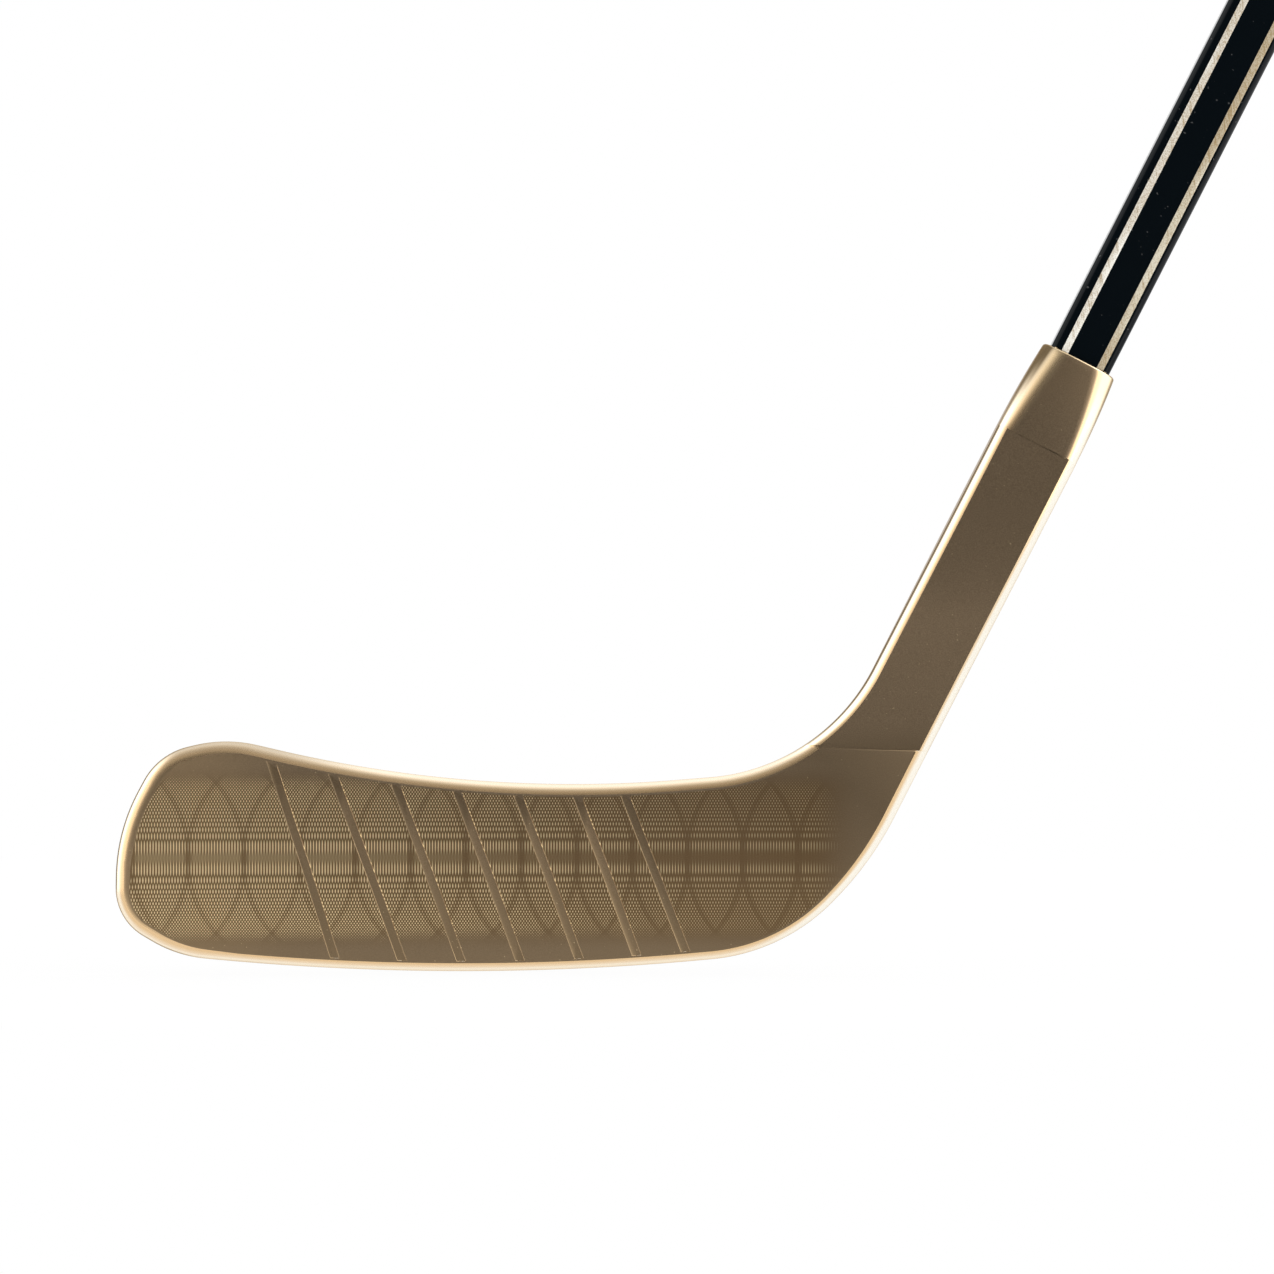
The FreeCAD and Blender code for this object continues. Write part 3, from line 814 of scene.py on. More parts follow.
class Outline:
    """A closed outline of straight runs joined by tangent arcs, drawn on the plane Y = 0."""

    MOST_OF_RUN = 0.97
    LEAST_SHARE = 1e-6

    def __init__(self, corners: Sequence[Corner]) -> None:
        """Work out where each arc starts and ends.

        Args:
            corners: the outline's corners in order.
        """
        count = len(corners)
        self.points = [Vector((corner.x, 0.0, corner.z)) for corner in corners]
        steps = [self.points[(i + 1) % count] - self.points[i] for i in range(count)]
        self.turns = [self._turn(steps[i - 1], steps[i]) for i in range(count)]
        wanted = [corner.radius * math.tan(abs(turn) / 2) for corner, turn in zip(corners, self.turns)]
        room = [self.MOST_OF_RUN * step.length for step in steps]
        shares = [min(1.0, room[i] / max(wanted[i] + wanted[(i + 1) % count], room[i] * self.LEAST_SHARE))
                  for i in range(count)]
        self.cuts = [wanted[i] * min(shares[i - 1], shares[i]) for i in range(count)]
        self.before = [steps[i - 1].normalized() for i in range(count)]
        self.after = [step.normalized() for step in steps]

    @staticmethod
    def _turn(before: Vector, after: Vector) -> float:
        """The signed turn from one run to the next, about -Y."""
        return math.atan2(before.x * after.z - before.z * after.x, before.dot(after))

    def draw(self, bm: bmesh.types.BMesh, step: float) -> bmesh.types.BMFace:
        """Draw the outline and fill it.

        Args:
            bm: the mesh to draw in.
            step: the longest chord of an arc.

        Returns:
            The filled face.
        """
        count = len(self.points)
        start = self.points[0] - self.before[0] * self.cuts[0]
        pen = bmesh.ops.create_vert(bm, co=start)["vert"][0]
        for i in range(count):
            if self.cuts[i]:
                radius = self.cuts[i] / math.tan(abs(self.turns[i]) / 2)
                left = Vector((-self.before[i].z, 0.0, self.before[i].x)) * math.copysign(1, self.turns[i])
                centre = pen.co + left * radius
                chords = max(2, math.ceil(radius * abs(self.turns[i]) / step))
                arc = bmesh.ops.spin(bm, geom=[pen], cent=centre, axis=(0, -1, 0), angle=self.turns[i],
                                     steps=chords)
                pen = next(item for item in arc["geom_last"] if isinstance(item, bmesh.types.BMVert))
            following = (i + 1) % count
            end = self.points[following] - self.before[following] * self.cuts[following]
            run = bmesh.ops.extrude_vert_indiv(bm, verts=[pen])
            pen = run["verts"][0]
            pen.co = end
        bmesh.ops.remove_doubles(bm, verts=list(bm.verts), dist=WELD)
        filled = bmesh.ops.contextual_create(bm, geom=list(bm.edges))
        return filled["faces"][0]


class Section:
    """A rounded rectangle across the shaft's axis, traced by a fixed number of points."""

    ARC_STEPS = 8

    def __init__(self, half_width: float, half_depth: float, corner: float,
                 heel_reach: Optional[float] = None, toe_reach: Optional[float] = None) -> None:
        """Keep the half sizes and how far the corners reach.

        Args:
            half_width: half the width across the axis.
            half_depth: half the depth.
            corner: how far each corner reaches along the depth.
            heel_reach: how far the heel side's corners reach across, when that differs.
            toe_reach: the same on the toe side.
        """
        self.half_width = half_width
        self.half_depth = half_depth
        self.corner = corner
        self.reaches = {1: heel_reach or corner, -1: toe_reach or corner}

    @classmethod
    def count(cls) -> int:
        """How many points trace a section."""
        return 4 * (cls.ARC_STEPS + 1)

    def point(self, place: int) -> tuple[float, float]:
        """One point of the section.

        Args:
            place: the point's number, counted round from the heel side.

        Returns:
            Its place across the axis and its depth.
        """
        quarter, step = divmod(place, self.ARC_STEPS + 1)
        angle = (quarter + step / self.ARC_STEPS) * math.pi / 2
        side = 1 if quarter in (0, 3) else -1
        back = 1 if quarter in (0, 1) else -1
        reach = self.reaches[side]
        across = side * (self.half_width - reach) + reach * math.cos(angle)
        depth = back * (self.half_depth - self.corner) + self.corner * math.sin(angle)
        return across, depth


class Sleeve:
    """A skin grown section by section along the shaft's axis."""

    def __init__(self, line: ShaftLine) -> None:
        """Start without a skin."""
        self.line = line
        self.bm = bmesh.new()
        self.tag = self.bm.verts.layers.int.new("place")
        self.edge_loop: list[bmesh.types.BMEdge] = []

    def grow(self, station: float, section: Section) -> "Sleeve":
        """Add a section.

        Args:
            station: the section's length along the axis.
            section: its shape.

        Returns:
            The sleeve itself, so that calls can follow one another.
        """
        if not self.edge_loop:
            circle = bmesh.ops.create_circle(self.bm, segments=Section.count(), radius=1.0)
            verts = sorted(circle["verts"], key=lambda v: math.atan2(v.co.y, v.co.x) % (2 * math.pi))
            for place, vert in enumerate(verts):
                vert[self.tag] = place
            self.edge_loop = list(self.bm.edges)
        else:
            grown = bmesh.ops.extrude_edge_only(self.bm, edges=self.edge_loop)["geom"]
            verts = [item for item in grown if isinstance(item, bmesh.types.BMVert)]
            fresh = set(verts)
            self.edge_loop = [item for item in grown if isinstance(item, bmesh.types.BMEdge)
                              and set(item.verts) <= fresh]
        for vert in verts:
            vert.co = self.line.at(station, *section.point(vert[self.tag]))
        return self

    def close(self) -> bmesh.types.BMesh:
        """Join the last section to the first where they meet, fill open ends and face outwards.

        Returns:
            The closed skin.
        """
        bmesh.ops.remove_doubles(self.bm, verts=list(self.bm.verts), dist=FINE_WELD)
        open_edges = [edge for edge in self.bm.edges if edge.is_boundary]
        if open_edges:
            bmesh.ops.holes_fill(self.bm, edges=open_edges, sides=0)
        bmesh.ops.recalc_face_normals(self.bm, faces=list(self.bm.faces))
        return self.bm


# ---- shaft -------------------------------------------------------------------------------------------

@dataclass(frozen=True)
class ShaftSizes:
    """Sizes of the shaft in metres, with angles in radians.

    `bottom` and `stripe_start` are stations along the axis. The stripes are placed by their middles across
    it. `foil_round` is the share of the foil's thickness that is rounded off.
    """

    half_width: float = 13.95 * MM
    half_depth: float = 9.25 * MM
    corner: float = 2.9 * MM
    wall: float = 0.5 * MM
    bottom: float = 237.4 * MM
    stripe_start: float = 297.0 * MM
    stripe_gap: float = 3.0 * MM
    stripe_width: float = 3.1 * MM
    toe_stripe: float = -7.7 * MM
    heel_stripe: float = 9.2 * MM
    foil: float = 0.2 * MM
    foil_round: float = 0.8
    foil_sharp: float = math.radians(50)
    wrap_sharp: float = math.radians(40)


class Shaft:
    """The lacquered shaft with its foil stripes, and the wood, glass and glue inside it."""

    PLIES = 5

    def __init__(self, line: ShaftLine, sizes: ShaftSizes = ShaftSizes()) -> None:
        """Keep the axis and the sizes."""
        self.line = line
        self.sizes = sizes

    def build(self, nodes: dict) -> list[bpy.types.Object]:
        """Build the wrap and dress the CAD pieces.

        Args:
            nodes: the CAD nodes by name.

        Returns:
            The new pieces.
        """
        sizes = self.sizes
        foil = GOLD_FOIL.make("gold_foil", self.line)
        painted_light_foil = PAINTED_LIGHT_FOIL.make("painted_light_foil", self.line)
        birch, poplar = BIRCH.make("birch", self.line), POPLAR.make("poplar", self.line)
        glass = GLASS_SHEET.make("glass_sheet", self.line)
        # The front stripe on the toe side takes the foil with painted light.
        pieces = [self._wrap(), self._stripe("front_stripe_toe_side", sizes.toe_stripe, painted_light_foil),
                  self._stripe("front_stripe_heel_side", sizes.heel_stripe, foil)]
        dressed = {"back_stripe_toe_side": foil, "back_stripe_heel_side": foil,
                   "front_glass_sheet": glass, "back_glass_sheet": glass,
                   "socket_glue": EPOXY.make("epoxy", self.line)}
        for number in range(1, self.PLIES + 1):
            dressed[f"core_ply_{number}"] = birch if number in (1, self.PLIES) else poplar
        for name, material in dressed.items():
            self._dress(nodes[name], material)
        return pieces

    def _stripe(self, node: str, centre: float, foil: bpy.types.Material) -> bpy.types.Object:
        """A foil stripe on the front, with rounded long edges.

        Args:
            node: the CAD stripe that it stands for.
            centre: where its middle lies across the shaft.
            foil: its finish.

        Returns:
            The stripe.
        """
        sizes = self.sizes
        start, end = sizes.stripe_start, self.line.length - sizes.stripe_gap
        bm = bmesh.new()
        bmesh.ops.create_cube(bm, size=1.0)
        bmesh.ops.scale(bm, vec=(sizes.stripe_width, 2 * sizes.foil, end - start), verts=list(bm.verts))
        long_edges = [edge for edge in bm.edges
                      if abs(edge.verts[0].co.z - edge.verts[1].co.z) > MM and edge.verts[0].co.y < 0]
        bmesh.ops.bevel(bm, geom=long_edges, offset=sizes.foil * sizes.foil_round, segments=2, profile=0.5,
                        affect="EDGES", material=-1)
        place = self.line.at((start + end) / 2, centre, -sizes.half_depth)
        turn = Matrix.Rotation(math.atan2(self.line.along.x, self.line.along.z), 4, "Y")
        bmesh.ops.transform(bm, matrix=Matrix.Translation(place) @ turn, verts=list(bm.verts))
        piece = make_piece(bm, node + "_foil", [foil])
        piece.data.set_sharp_from_angle(angle=sizes.foil_sharp)
        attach(piece, "root")
        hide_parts(node)
        return piece

    def _wrap(self) -> bpy.types.Object:
        """The lacquered sleeve, open at both ends, in place of the CAD wrap.

        Returns:
            The wrap.
        """
        sizes = self.sizes
        outer = Section(sizes.half_width, sizes.half_depth, sizes.corner)
        inner = Section(*[size - sizes.wall for size in (sizes.half_width, sizes.half_depth, sizes.corner)])
        sleeve = Sleeve(self.line)
        sleeve.grow(sizes.bottom, outer).grow(self.line.length, outer)
        sleeve.grow(self.line.length, inner).grow(sizes.bottom, inner).grow(sizes.bottom, outer)
        piece = make_piece(sleeve.close(), "shaft_wrap_piece", [LacquerFinish().make("black_lacquer")])
        piece.data.set_sharp_from_angle(angle=sizes.wrap_sharp)
        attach(piece, "root")
        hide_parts("shaft_wrap")
        return piece

    @staticmethod
    def _dress(node: bpy.types.Object, material: bpy.types.Material) -> None:
        """Give a CAD node one material."""
        node.data.materials.clear()
        node.data.materials.append(material)


# ---- blade -------------------------------------------------------------------------------------------

@dataclass(frozen=True)
class BladeSizes:
    """Sizes of the blade moulding in metres, with angles in radians.

    `band` is half the flat parting band round the edge, and `rim_start` and `rim_end` are the slopes between
    which the rim rolls over. `neck_root` is the height at which the neck starts to swell and the mould line
    crosses it. `notch` and `mouth` are stations along the shaft's axis, and the outline runs `overrun` past
    the notches before it is cut. A reach is how far a corner's rounding goes across the face. The bulges and
    the taper are powers that shape how the collar grows from the notches to the mouth.
    """

    half_thickness: float = 4.5 * MM
    chord: float = 2.2 * MM
    band: float = 0.5 * MM
    band_lean: float = 0.02 * MM
    rim_width: float = 4.3 * MM
    rim_start: float = math.radians(80)
    rim_end: float = math.radians(20)
    rim_steps: int = 10
    toe_limit: float = -150 * MM
    curve_start: float = 70 * MM
    curve_radius: float = 1850 * MM
    neck_root: float = 96.2 * MM
    neck_blend: float = 420 * MM
    swell_length: float = 120 * MM
    neck_half_depth: float = 12.5 * MM
    neck_half_width: float = 18.85 * MM
    notch: float = 255.7 * MM
    overrun: float = 16 * MM
    mouth: float = 296.9 * MM
    mouth_half_width: float = 17.15 * MM
    mouth_half_depth: float = 12.1 * MM
    notch_corner: float = 5.2 * MM
    notch_toe_reach: float = 8.0 * MM
    notch_heel_reach: float = 6.8 * MM
    mouth_corner: float = 10.4 * MM
    mouth_toe_reach: float = 14.2 * MM
    mouth_heel_reach: float = 11.4 * MM
    collar_steps: int = 20
    collar_root: float = 1.5 * MM
    collar_buried: float = 1.0 * MM
    collar_taper: float = 2.2
    toe_bulge: float = 0.55
    heel_bulge: float = 1.5
    lip: float = 1.2 * MM
    lip_side: float = 1.8 * MM
    lip_steps: int = 4
    socket_half_width: float = 14.1 * MM
    socket_half_depth: float = 9.55 * MM
    socket_corner: float = 3.8 * MM
    socket_depth: float = 30 * MM
    mould_line: float = 0.5 * MM
    mould_rise: float = 0.156 * MM
    mould_skin: float = 0.3 * MM
    mould_centre: float = 177 * MM
    mould_fall: float = 0.043
    margin: float = 0.8 * MM
    slice: float = 5.0 * MM
    plate_sharp: float = math.radians(14)
    collar_sharp: float = math.radians(15)


@dataclass(frozen=True)
class OutlineSizes:
    """The corners of the blade's outline in millimetres: place along the blade, height and radius.

    The heel's and the throat's corners lie on the neck's edges, so they have a station and a radius.
    """

    toe_low: tuple = (-148.2, 22.9, 24.0)
    toe_foot: tuple = (-121.6, 7.0, 55.0)
    sole: tuple = (0.0, -4.6, 1096.0)
    heel_foot: tuple = (140.6, 7.9, 84.7)
    heel: tuple = (63.6, 142.2)
    throat: tuple = (89.1, 86.9)
    waist: tuple = (7.3, 75.7, 556.0)
    crest: tuple = (-100.9, 101.2, 58.0)
    crest_end: tuple = (-129.9, 94.3, 29.0)
    toe: tuple = (-147.6, 61.0, 81.0)


@dataclass(frozen=True)
class RimSizes:
    """The width of the rolled rim in metres: at the sole, on the neck, and what each zone adds."""

    sole: float = 3.6 * MM
    neck: float = 3.7 * MM
    toe: float = 1.3 * MM
    toe_zone: tuple = (-95 * MM, -130 * MM)
    crest: float = 0.2 * MM
    crest_heights: tuple = (72 * MM, 92 * MM)
    crest_zone: tuple = (0.0, -60 * MM)
    throat: float = 0.3 * MM
    throat_heights: tuple = (60 * MM, 96 * MM)
    throat_zone: tuple = (0.0, 90 * MM)
    top: float = 1.0 * MM
    top_heights: tuple = (15 * MM, 60 * MM)


@dataclass(frozen=True)
class StripSizes:
    """Sizes of the smooth diagonal strips in metres, but their places in millimetres and slopes in degrees.

    A strip stands up by `relief` on its heel side and by only `faint` on its toe side.
    """

    level: float = MID_HEIGHT * MM
    highest: float = 100 * MM
    places: tuple = (-67.5, -41.0, -15.7, 9.8, 35.5, 60.9, 82.1)
    width: float = 3.9 * MM
    slopes: tuple = (17.9, 20.3, 20.4, 20.4, 20.5, 20.5, 21.2)
    relief: float = 0.35 * MM
    faint: float = 0.06 * MM
    edge: float = 0.18 * MM
    run_in: float = 2.2 * MM


class Blade:
    """The gold blade moulding: plate, neck and socket collar."""

    def __init__(self, line: ShaftLine, sizes: BladeSizes = BladeSizes(),
                 outline: OutlineSizes = OutlineSizes(), rim: RimSizes = RimSizes(),
                 strips: StripSizes = StripSizes()) -> None:
        """Keep the shaft's axis and the sizes.

        Args:
            line: the shaft's axis.
            sizes: the moulding's sizes.
            outline: the corners of its outline.
            rim: the widths of its rim.
            strips: the sizes of its smooth strips.
        """
        self.line = line
        self.sizes = sizes
        self.outline = outline
        self.rim = rim
        self.strips = strips

    def _neck_corner(self, station: float, offset: float, radius: float = 0.0) -> Corner:
        """A corner of the outline beside the shaft's axis."""
        point = self.line.at(station, offset)
        return Corner(point.x, point.z, radius)

    def _outline(self) -> Outline:
        """The face outline, anticlockwise from the low corner of the toe.

        Returns:
            The outline.
        """
        sizes, marks = self.sizes, self.outline
        top = sizes.notch + sizes.overrun
        half = sizes.neck_half_width
        neck = [
            self._neck_corner(marks.heel[0] * MM, half, marks.heel[1] * MM),
            self._neck_corner(top, half),
            self._neck_corner(top, -half),
            self._neck_corner(marks.throat[0] * MM, -half, marks.throat[1] * MM),
        ]
        sole, back = ([Corner(*[value * MM for value in mark]) for mark in group] for group in (
            (marks.toe_low, marks.toe_foot, marks.sole, marks.heel_foot),
            (marks.waist, marks.crest, marks.crest_end, marks.toe)))
        return Outline(sole + neck + back)

    def build(self) -> list[bpy.types.Object]:
        """Build the moulding and the collar.

        Returns:
            The new pieces.
        """
        looks = {Face.MOULDED: ("gold_moulding", GoldFinish()),
                 Face.MILLED: ("gold_milled", GoldFinish(grip=MilledGrip())),
                 Face.STRIP: ("gold_strip", GOLD_STRIP)}
        finishes = [looks[face][1].make(looks[face][0], self.line, self.sizes.mouth) for face in Face]
        bm = self._plate()
        self._bend(bm)
        plate = make_piece(bm, "blade_plate", finishes)
        plate.data.set_sharp_from_angle(angle=self.sizes.plate_sharp)
        collar = make_piece(self._collar(), "blade_collar", finishes)
        collar.data.set_sharp_from_angle(angle=self.sizes.collar_sharp)
        for piece in (plate, collar):
            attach(piece, "root")
        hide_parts("blade")
        return [plate, collar]

    def _plate(self) -> bmesh.types.BMesh:
        """The plate and neck, with both faces and not yet bent, cut off at the notches.

        Returns:
            The mesh.
        """
        sizes = self.sizes
        bm = bmesh.new()
        bm.verts.layers.float.new("across_rim")
        bm.verts.layers.float_vector.new("outwards")
        face = self._outline().draw(bm, sizes.chord)
        if face.normal.y > 0:
            face.normal_flip()
        self._roll_rim(bm, face)
        self._cut_strips(bm, face)
        bmesh.ops.mirror(bm, geom=list(bm.verts) + list(bm.edges) + list(bm.faces),
                         matrix=Matrix.Identity(4), merge_dist=WELD, axis="Y")
        cut(bm, self.line.at(sizes.notch), self.line.along, drop=True)
        bmesh.ops.holes_fill(bm, edges=[edge for edge in bm.edges if edge.is_boundary], sides=0)
        bmesh.ops.recalc_face_normals(bm, faces=list(bm.faces))
        return bm

    def _roll_rim(self, bm: bmesh.types.BMesh, face: bmesh.types.BMFace) -> None:
        """Roll the edge over from the parting band to the crease where the flat face starts.

        Args:
            bm: the mesh.
            face: the face inside the rim, which shrinks with each step.
        """
        sizes = self.sizes
        self._step(bm, face, sizes.band_lean, sizes.band)
        sine = math.sin(sizes.rim_start) - math.sin(sizes.rim_end)
        cosine = math.cos(sizes.rim_end) - math.cos(sizes.rim_start)
        rise = sizes.half_thickness - sizes.band
        angles = [sizes.rim_start + (sizes.rim_end - sizes.rim_start) * i / sizes.rim_steps
                  for i in range(sizes.rim_steps + 1)]
        across = bm.verts.layers.float["across_rim"]
        outwards = bm.verts.layers.float_vector["outwards"]
        for before, after in zip(angles, angles[1:]):
            inwards = (math.sin(before) - math.sin(after)) / sine
            upwards = rise * (math.cos(after) - math.cos(before)) / cosine
            self._step(bm, face, sizes.rim_width * inwards, upwards)
            own = set(face.verts)
            for vert in own:
                outer = next(edge.other_vert(vert) for edge in vert.link_edges
                             if edge.other_vert(vert) not in own)
                away = outer.co - vert.co
                vert[outwards] = Vector((away.x, 0.0, away.z)).normalized()
                vert[across] = outer[across] + inwards

    @staticmethod
    def _step(bm: bmesh.types.BMesh, face: bmesh.types.BMFace, inwards: float, upwards: float) -> None:
        """Inset a face and lift it along its normal."""
        bmesh.ops.inset_region(bm, faces=[face], thickness=inwards, depth=upwards, use_boundary=True,
                               use_even_offset=True)

    def _cut_strips(self, bm: bmesh.types.BMesh, face: bmesh.types.BMFace) -> None:
        """Raise the smooth strips on a face and leave the fields between them to the grip.

        Args:
            bm: the mesh.
            face: the flat face inside the rim.
        """
        sizes, strips = self.sizes, self.strips
        self._step(bm, face, sizes.margin, 0.0)
        face.material_index = Face.MILLED
        lines = [(Vector((place * MM, 0.0, strips.level)), math.radians(slope))
                 for place, slope in zip(strips.places, strips.slopes)]
        for centre, slope in lines:
            across = Vector((math.cos(slope), 0.0, math.sin(slope)))
            for side in (-1, 1):
                cut(bm, centre + across * strips.width / 2 * side, across, self._fields(bm))
        for centre, slope in lines:
            across = Vector((math.cos(slope), 0.0, math.sin(slope)))
            along = Vector((-across.z, 0.0, across.x))
            for item in self._fields(bm):
                middle = item.calc_center_median()
                if abs((middle - centre).dot(across)) < strips.width / 2 and middle.z < strips.highest:
                    self._raise_strip(bm, item, centre, across, along)

    @staticmethod
    def _fields(bm: bmesh.types.BMesh) -> list[bmesh.types.BMFace]:
        """The milled faces."""
        return [item for item in bm.faces if item.material_index == Face.MILLED]

    def _raise_strip(self, bm: bmesh.types.BMesh, item: bmesh.types.BMFace, centre: Vector, across: Vector,
                     along: Vector) -> None:
        """Tilt one strip up to a crisp edge on its heel side, with a gentle start at its top.

        Args:
            bm: the mesh.
            item: the strip's face.
            centre: a point on its middle line.
            across: the direction across it, towards the heel.
            along: the direction up it.
        """
        strips = self.strips
        item.material_index = Face.MOULDED
        level = item.verts[0].co.y
        self._step(bm, item, strips.edge, strips.relief)
        item.material_index = Face.STRIP
        highest = max(vert.co.z for vert in item.verts)
        for vert in item.verts:
            if (vert.co - centre).dot(across) < 0:
                vert.co.y = level - strips.faint
            elif vert.co.z > highest - strips.width:
                vert.co -= along * strips.run_in

    def _bend(self, bm: bmesh.types.BMesh) -> None:
        """Slice the plate where it bends or swells, then curve the toe forwards and thicken the neck.

        Args:
            bm: the mesh of the plate and neck.
        """
        sizes = self.sizes
        x = sizes.curve_start
        while x > sizes.toe_limit:
            cut(bm, Vector((x, 0.0, 0.0)), Vector((1.0, 0.0, 0.0)))
            x -= sizes.slice
        levels = [sizes.neck_root + step for step in (-sizes.mould_line, 0.0, sizes.mould_line)]
        while levels[-1] < sizes.neck_root + sizes.swell_length:
            levels.append(levels[-1] + sizes.slice)
        level = Vector((sizes.mould_fall, 0.0, 1.0)).normalized()
        for z in levels:
            cut(bm, Vector((sizes.mould_centre, 0.0, z)), level)
        across = bm.verts.layers.float["across_rim"]
        outwards = bm.verts.layers.float_vector["outwards"]
        for vert in bm.verts:
            if vert[across] > 0:
                vert.co += vert[outwards] * vert[across] * (sizes.rim_width - self._rim_width(vert.co))
            on_line = vert.co.x > 0 and abs(self._over_line(vert.co)) < sizes.mould_line / 2
            if on_line and abs(vert.co.y) > sizes.half_thickness - sizes.mould_skin:
                vert.co.y += math.copysign(sizes.mould_rise, vert.co.y)
            swell = self._half_depth(vert.co.z) - sizes.half_thickness
            if abs(vert.co.y) > sizes.band / 2:
                vert.co.y += math.copysign(swell, vert.co.y)
            reach = max(0.0, sizes.curve_start - vert.co.x)
            vert.co.y -= sizes.curve_radius - math.sqrt(sizes.curve_radius ** 2 - reach ** 2)

    def _over_line(self, point: Vector) -> float:
        """The height of a point over the mould line, which falls a little towards the heel."""
        sizes = self.sizes
        return point.z - sizes.neck_root + (point.x - sizes.mould_centre) * sizes.mould_fall

    def _rim_width(self, point: Vector) -> float:
        """The rim's width, which is narrow on the neck and wider round the toe and along the top.

        Args:
            point: a point of the rim.

        Returns:
            The width there.
        """
        rim = self.rim
        if point.x > 0 and self._over_line(point) > self.sizes.mould_line / 2:
            return rim.neck
        toe = rim.toe * passed(point.x, rim.toe_zone)
        crest = rim.crest * passed(point.z, rim.crest_heights) * passed(point.x, rim.crest_zone)
        throat = rim.throat * passed(point.z, rim.throat_heights) * passed(point.x, rim.throat_zone)
        return rim.sole + toe + crest + throat + rim.top * passed(point.z, rim.top_heights)

    def _half_depth(self, z: float) -> float:
        """Half the moulding's thickness at a height: two arcs blend the plate into the neck.

        Args:
            z: the height.

        Returns:
            Half the thickness.
        """
        sizes = self.sizes
        growth = sizes.neck_half_depth - sizes.half_thickness
        run = math.sqrt(sizes.neck_blend ** 2 - (sizes.neck_blend - growth / 2) ** 2)
        above = min(max(z - sizes.neck_root, 0.0), 2 * run)
        if above <= run:
            return sizes.half_thickness + sizes.neck_blend - math.sqrt(sizes.neck_blend ** 2 - above ** 2)
        left = 2 * run - above
        return sizes.neck_half_depth - sizes.neck_blend + math.sqrt(sizes.neck_blend ** 2 - left ** 2)

    def _collar(self) -> bmesh.types.BMesh:
        """The collar from the notches to the socket's mouth, with its lip and the socket's upper walls.

        Returns:
            The mesh.
        """
        sizes = self.sizes
        sleeve = Sleeve(self.line)
        narrow, buried = sizes.neck_half_width, sizes.collar_buried
        root = Section(narrow - buried, sizes.neck_half_depth - buried, sizes.notch_corner - buried)
        sleeve.grow(sizes.notch - sizes.collar_root, root)
        top = sizes.mouth - sizes.lip
        for i in range(sizes.collar_steps + 1):
            share = i / sizes.collar_steps
            taper = share ** sizes.collar_taper
            width = narrow + (sizes.mouth_half_width - narrow) * taper
            depth = sizes.neck_half_depth + (sizes.mouth_half_depth - sizes.neck_half_depth) * taper
            corner = sizes.notch_corner + (sizes.mouth_corner - sizes.notch_corner) * share
            toe_growth, heel_growth = share ** sizes.toe_bulge, share ** sizes.heel_bulge
            toe = sizes.notch_toe_reach + (sizes.mouth_toe_reach - sizes.notch_toe_reach) * toe_growth
            heel = sizes.notch_heel_reach + (sizes.mouth_heel_reach - sizes.notch_heel_reach) * heel_growth
            station = sizes.notch + (top - sizes.notch) * share
            sleeve.grow(station, Section(width, depth, corner, heel, toe))
        for i in range(1, sizes.lip_steps + 1):
            angle = math.pi / 2 * i / sizes.lip_steps
            back = 1 - math.cos(angle)
            less = sizes.lip * back
            lip = Section(sizes.mouth_half_width - sizes.lip_side * back, sizes.mouth_half_depth - less,
                          sizes.mouth_corner - less, sizes.mouth_heel_reach - less,
                          sizes.mouth_toe_reach - less)
            sleeve.grow(top + sizes.lip * math.sin(angle), lip)
        socket = Section(sizes.socket_half_width, sizes.socket_half_depth, sizes.socket_corner)
        sleeve.grow(sizes.mouth, socket).grow(sizes.mouth - sizes.socket_depth, socket)
        return sleeve.close()


# ---- studio ------------------------------------------------------------------------------------------

@dataclass(frozen=True)
class StudioSizes:
    """Places in metres, the lens and its sensor in millimetres, and the light.

    Each light is a pair of fades over a direction: across or up with its strength, and from front to back.
    """

    lens: float = 163.04
    sensor: float = 36.0
    sight: float = 50.0
    camera: tuple = (0.0767, -2.5, 0.1447)
    floor_half: float = 0.8
    floor_middle: tuple = (0.25, 0.45)
    floor_drop: float = 0.2 * MM
    floor_glow: float = 0.95
    left: tuple = (Fade(-0.40, -0.68, 1.15), Fade(0.45, 0.05))
    right: tuple = (Fade(0.35, 0.62, 1.6), Fade(0.85, 0.40))
    above: tuple = (Fade(0.36, 0.76, 0.7), Fade(-0.7, -0.12))
    room: float = 0.42
    behind: Fade = Fade(0.75, 0.92)
    flag: tuple = (0.70, 0.93)
    flag_dark: float = 0.14
    flag_turn: float = 0.2


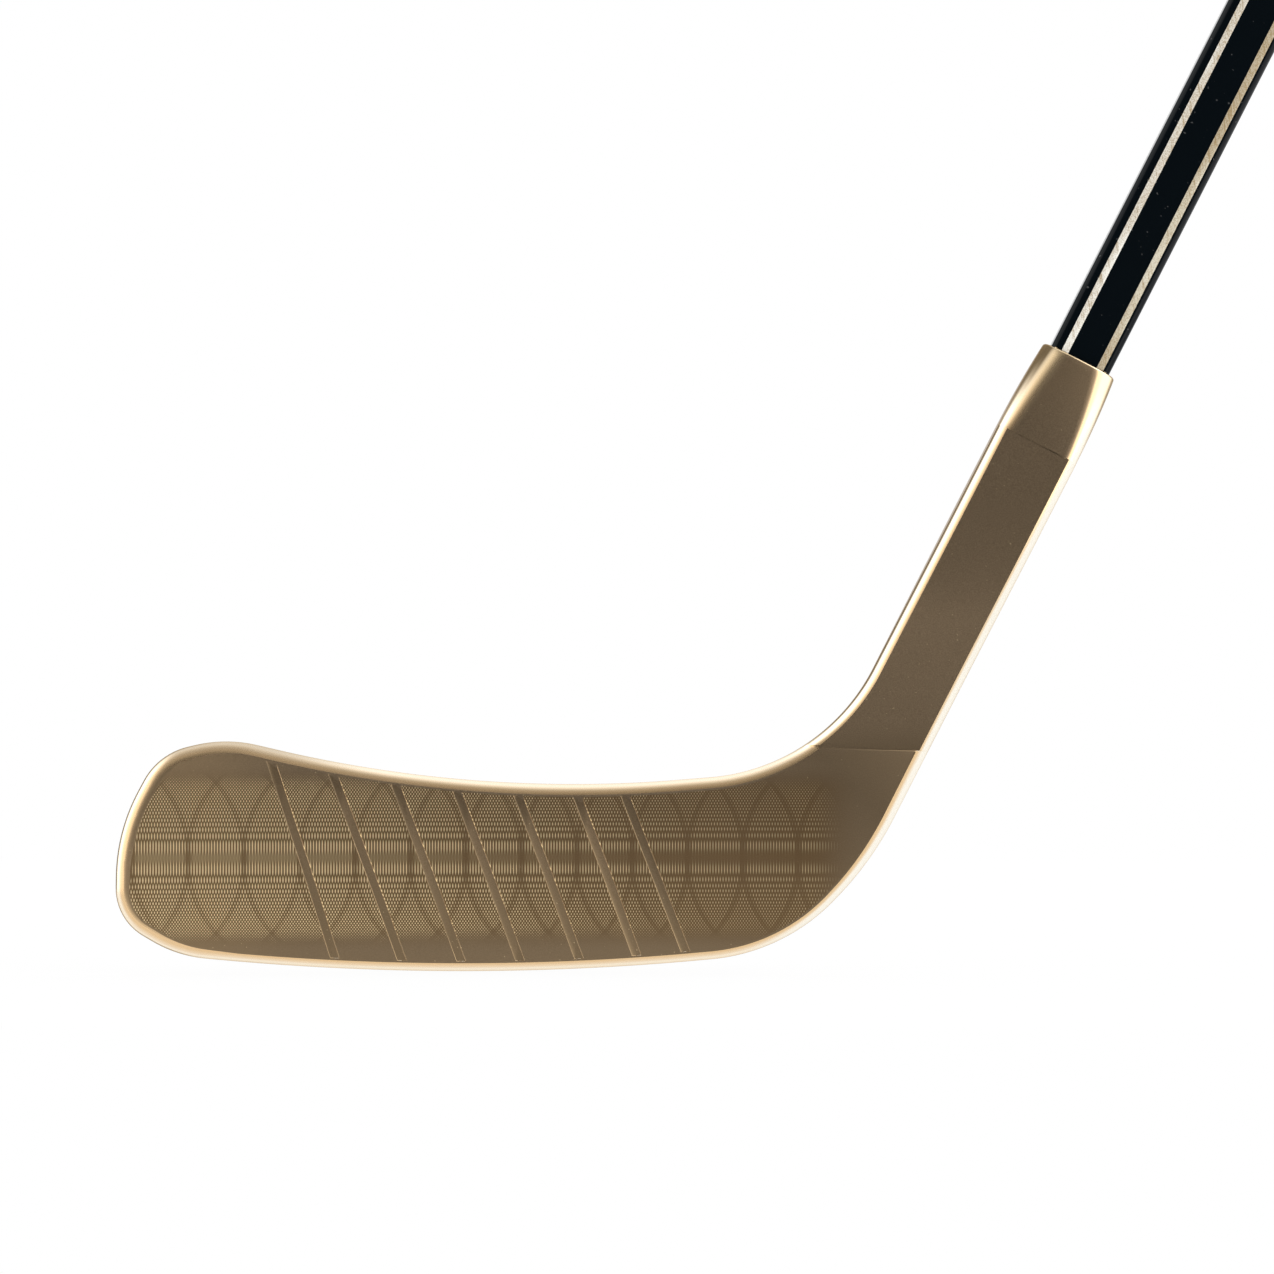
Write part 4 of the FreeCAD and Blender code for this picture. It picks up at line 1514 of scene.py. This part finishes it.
class Studio:
    """The camera, the pale floor and the soft light."""

    def __init__(self, lowest: float, sizes: StudioSizes = StudioSizes()) -> None:
        """Keep the height that the stick stands at and the sizes."""
        self.lowest = lowest
        self.sizes = sizes

    def build(self) -> None:
        """Set the colours' view, the camera, the world and the floor."""
        scene = bpy.context.scene
        scene.view_settings.view_transform = "Standard"
        self._camera(scene)
        self._world(scene)
        self._floor()

    def _camera(self, scene: bpy.types.Scene) -> None:
        """A long lens, straight before the blade and level.

        Args:
            scene: the scene that looks through it.
        """
        data = bpy.data.cameras.new("camera")
        data.sensor_width = self.sizes.sensor
        data.lens = self.sizes.lens
        data.clip_end = self.sizes.sight
        camera = bpy.data.objects.new("camera", data)
        camera.location = self.sizes.camera
        camera.rotation_euler = (math.pi / 2, 0.0, 0.0)
        scene.collection.objects.link(camera)
        scene.camera = camera

    def _world(self, scene: bpy.types.Scene) -> None:
        """Bright sides and ceiling, a dark flag in front for reflections, and a white backdrop behind.

        Args:
            scene: the scene that gets the world.
        """
        sizes = self.sizes
        world = bpy.data.worlds.new("studio")
        scene.world = world
        shader = Shader(world)
        x, y, z = shader.split("Generated")
        camera, glossy, through = shader.rays()
        room = sizes.room
        for axis, (aside, depth) in ((x, sizes.left), (x, sizes.right), (z, sizes.above)):
            room = aside.of(axis) * depth.of(y) + room
        flag = (0 - y - x.most(0) * sizes.flag_turn).ramp(*sizes.flag, 1.0, sizes.flag_dark)
        room = room * (1 - glossy * (1 - flag))
        backdrop = camera.most(glossy.most(through) * sizes.behind.of(y))
        strength = room * (1 - backdrop) + backdrop
        sky = shader.add("ShaderNodeBackground", inputs={"Color": (1, 1, 1, 1), "Strength": strength})
        shader.add("ShaderNodeOutputWorld", inputs={"Surface": sky.outputs[0]})

    def _floor(self) -> None:
        """A white floor that keeps a faint shadow."""
        sizes = self.sizes
        material = bpy.data.materials.new("floor")
        shader = Shader(material)
        camera, glossy, through = shader.rays()
        seen = camera.most(glossy).most(through)
        matte = shader.add("ShaderNodeBsdfDiffuse", inputs={"Color": (0.85, 0.85, 0.85, 1)})
        glow = shader.add("ShaderNodeEmission", inputs={"Color": (1, 1, 1, 1), "Strength": 1.0})
        mixed = shader.add("ShaderNodeMixShader", inputs={0: seen * sizes.floor_glow, 1: matte.outputs[0],
                                                          2: glow.outputs[0]})
        shader.add("ShaderNodeOutputMaterial", inputs={"Surface": mixed.outputs[0]})
        bm = bmesh.new()
        bmesh.ops.create_grid(bm, x_segments=1, y_segments=1, size=sizes.floor_half)
        place = (*sizes.floor_middle, self.lowest - sizes.floor_drop)
        bmesh.ops.translate(bm, vec=place, verts=list(bm.verts))
        make_piece(bm, "floor", [material])


def main() -> None:
    """Build every sub-assembly in order and report each piece."""
    logging.basicConfig(level=logging.INFO, format="%(message)s")
    line = ShaftLine.from_record(frame["record"])
    pieces = Blade(line).build() + Shaft(line).build(frame["nodes"])
    for piece in pieces:
        log.info("%s: %d faces", piece.name, len(piece.data.polygons))
    Studio(CAD_BOX[0].z).build()


if __name__ == "__main__":
    main()
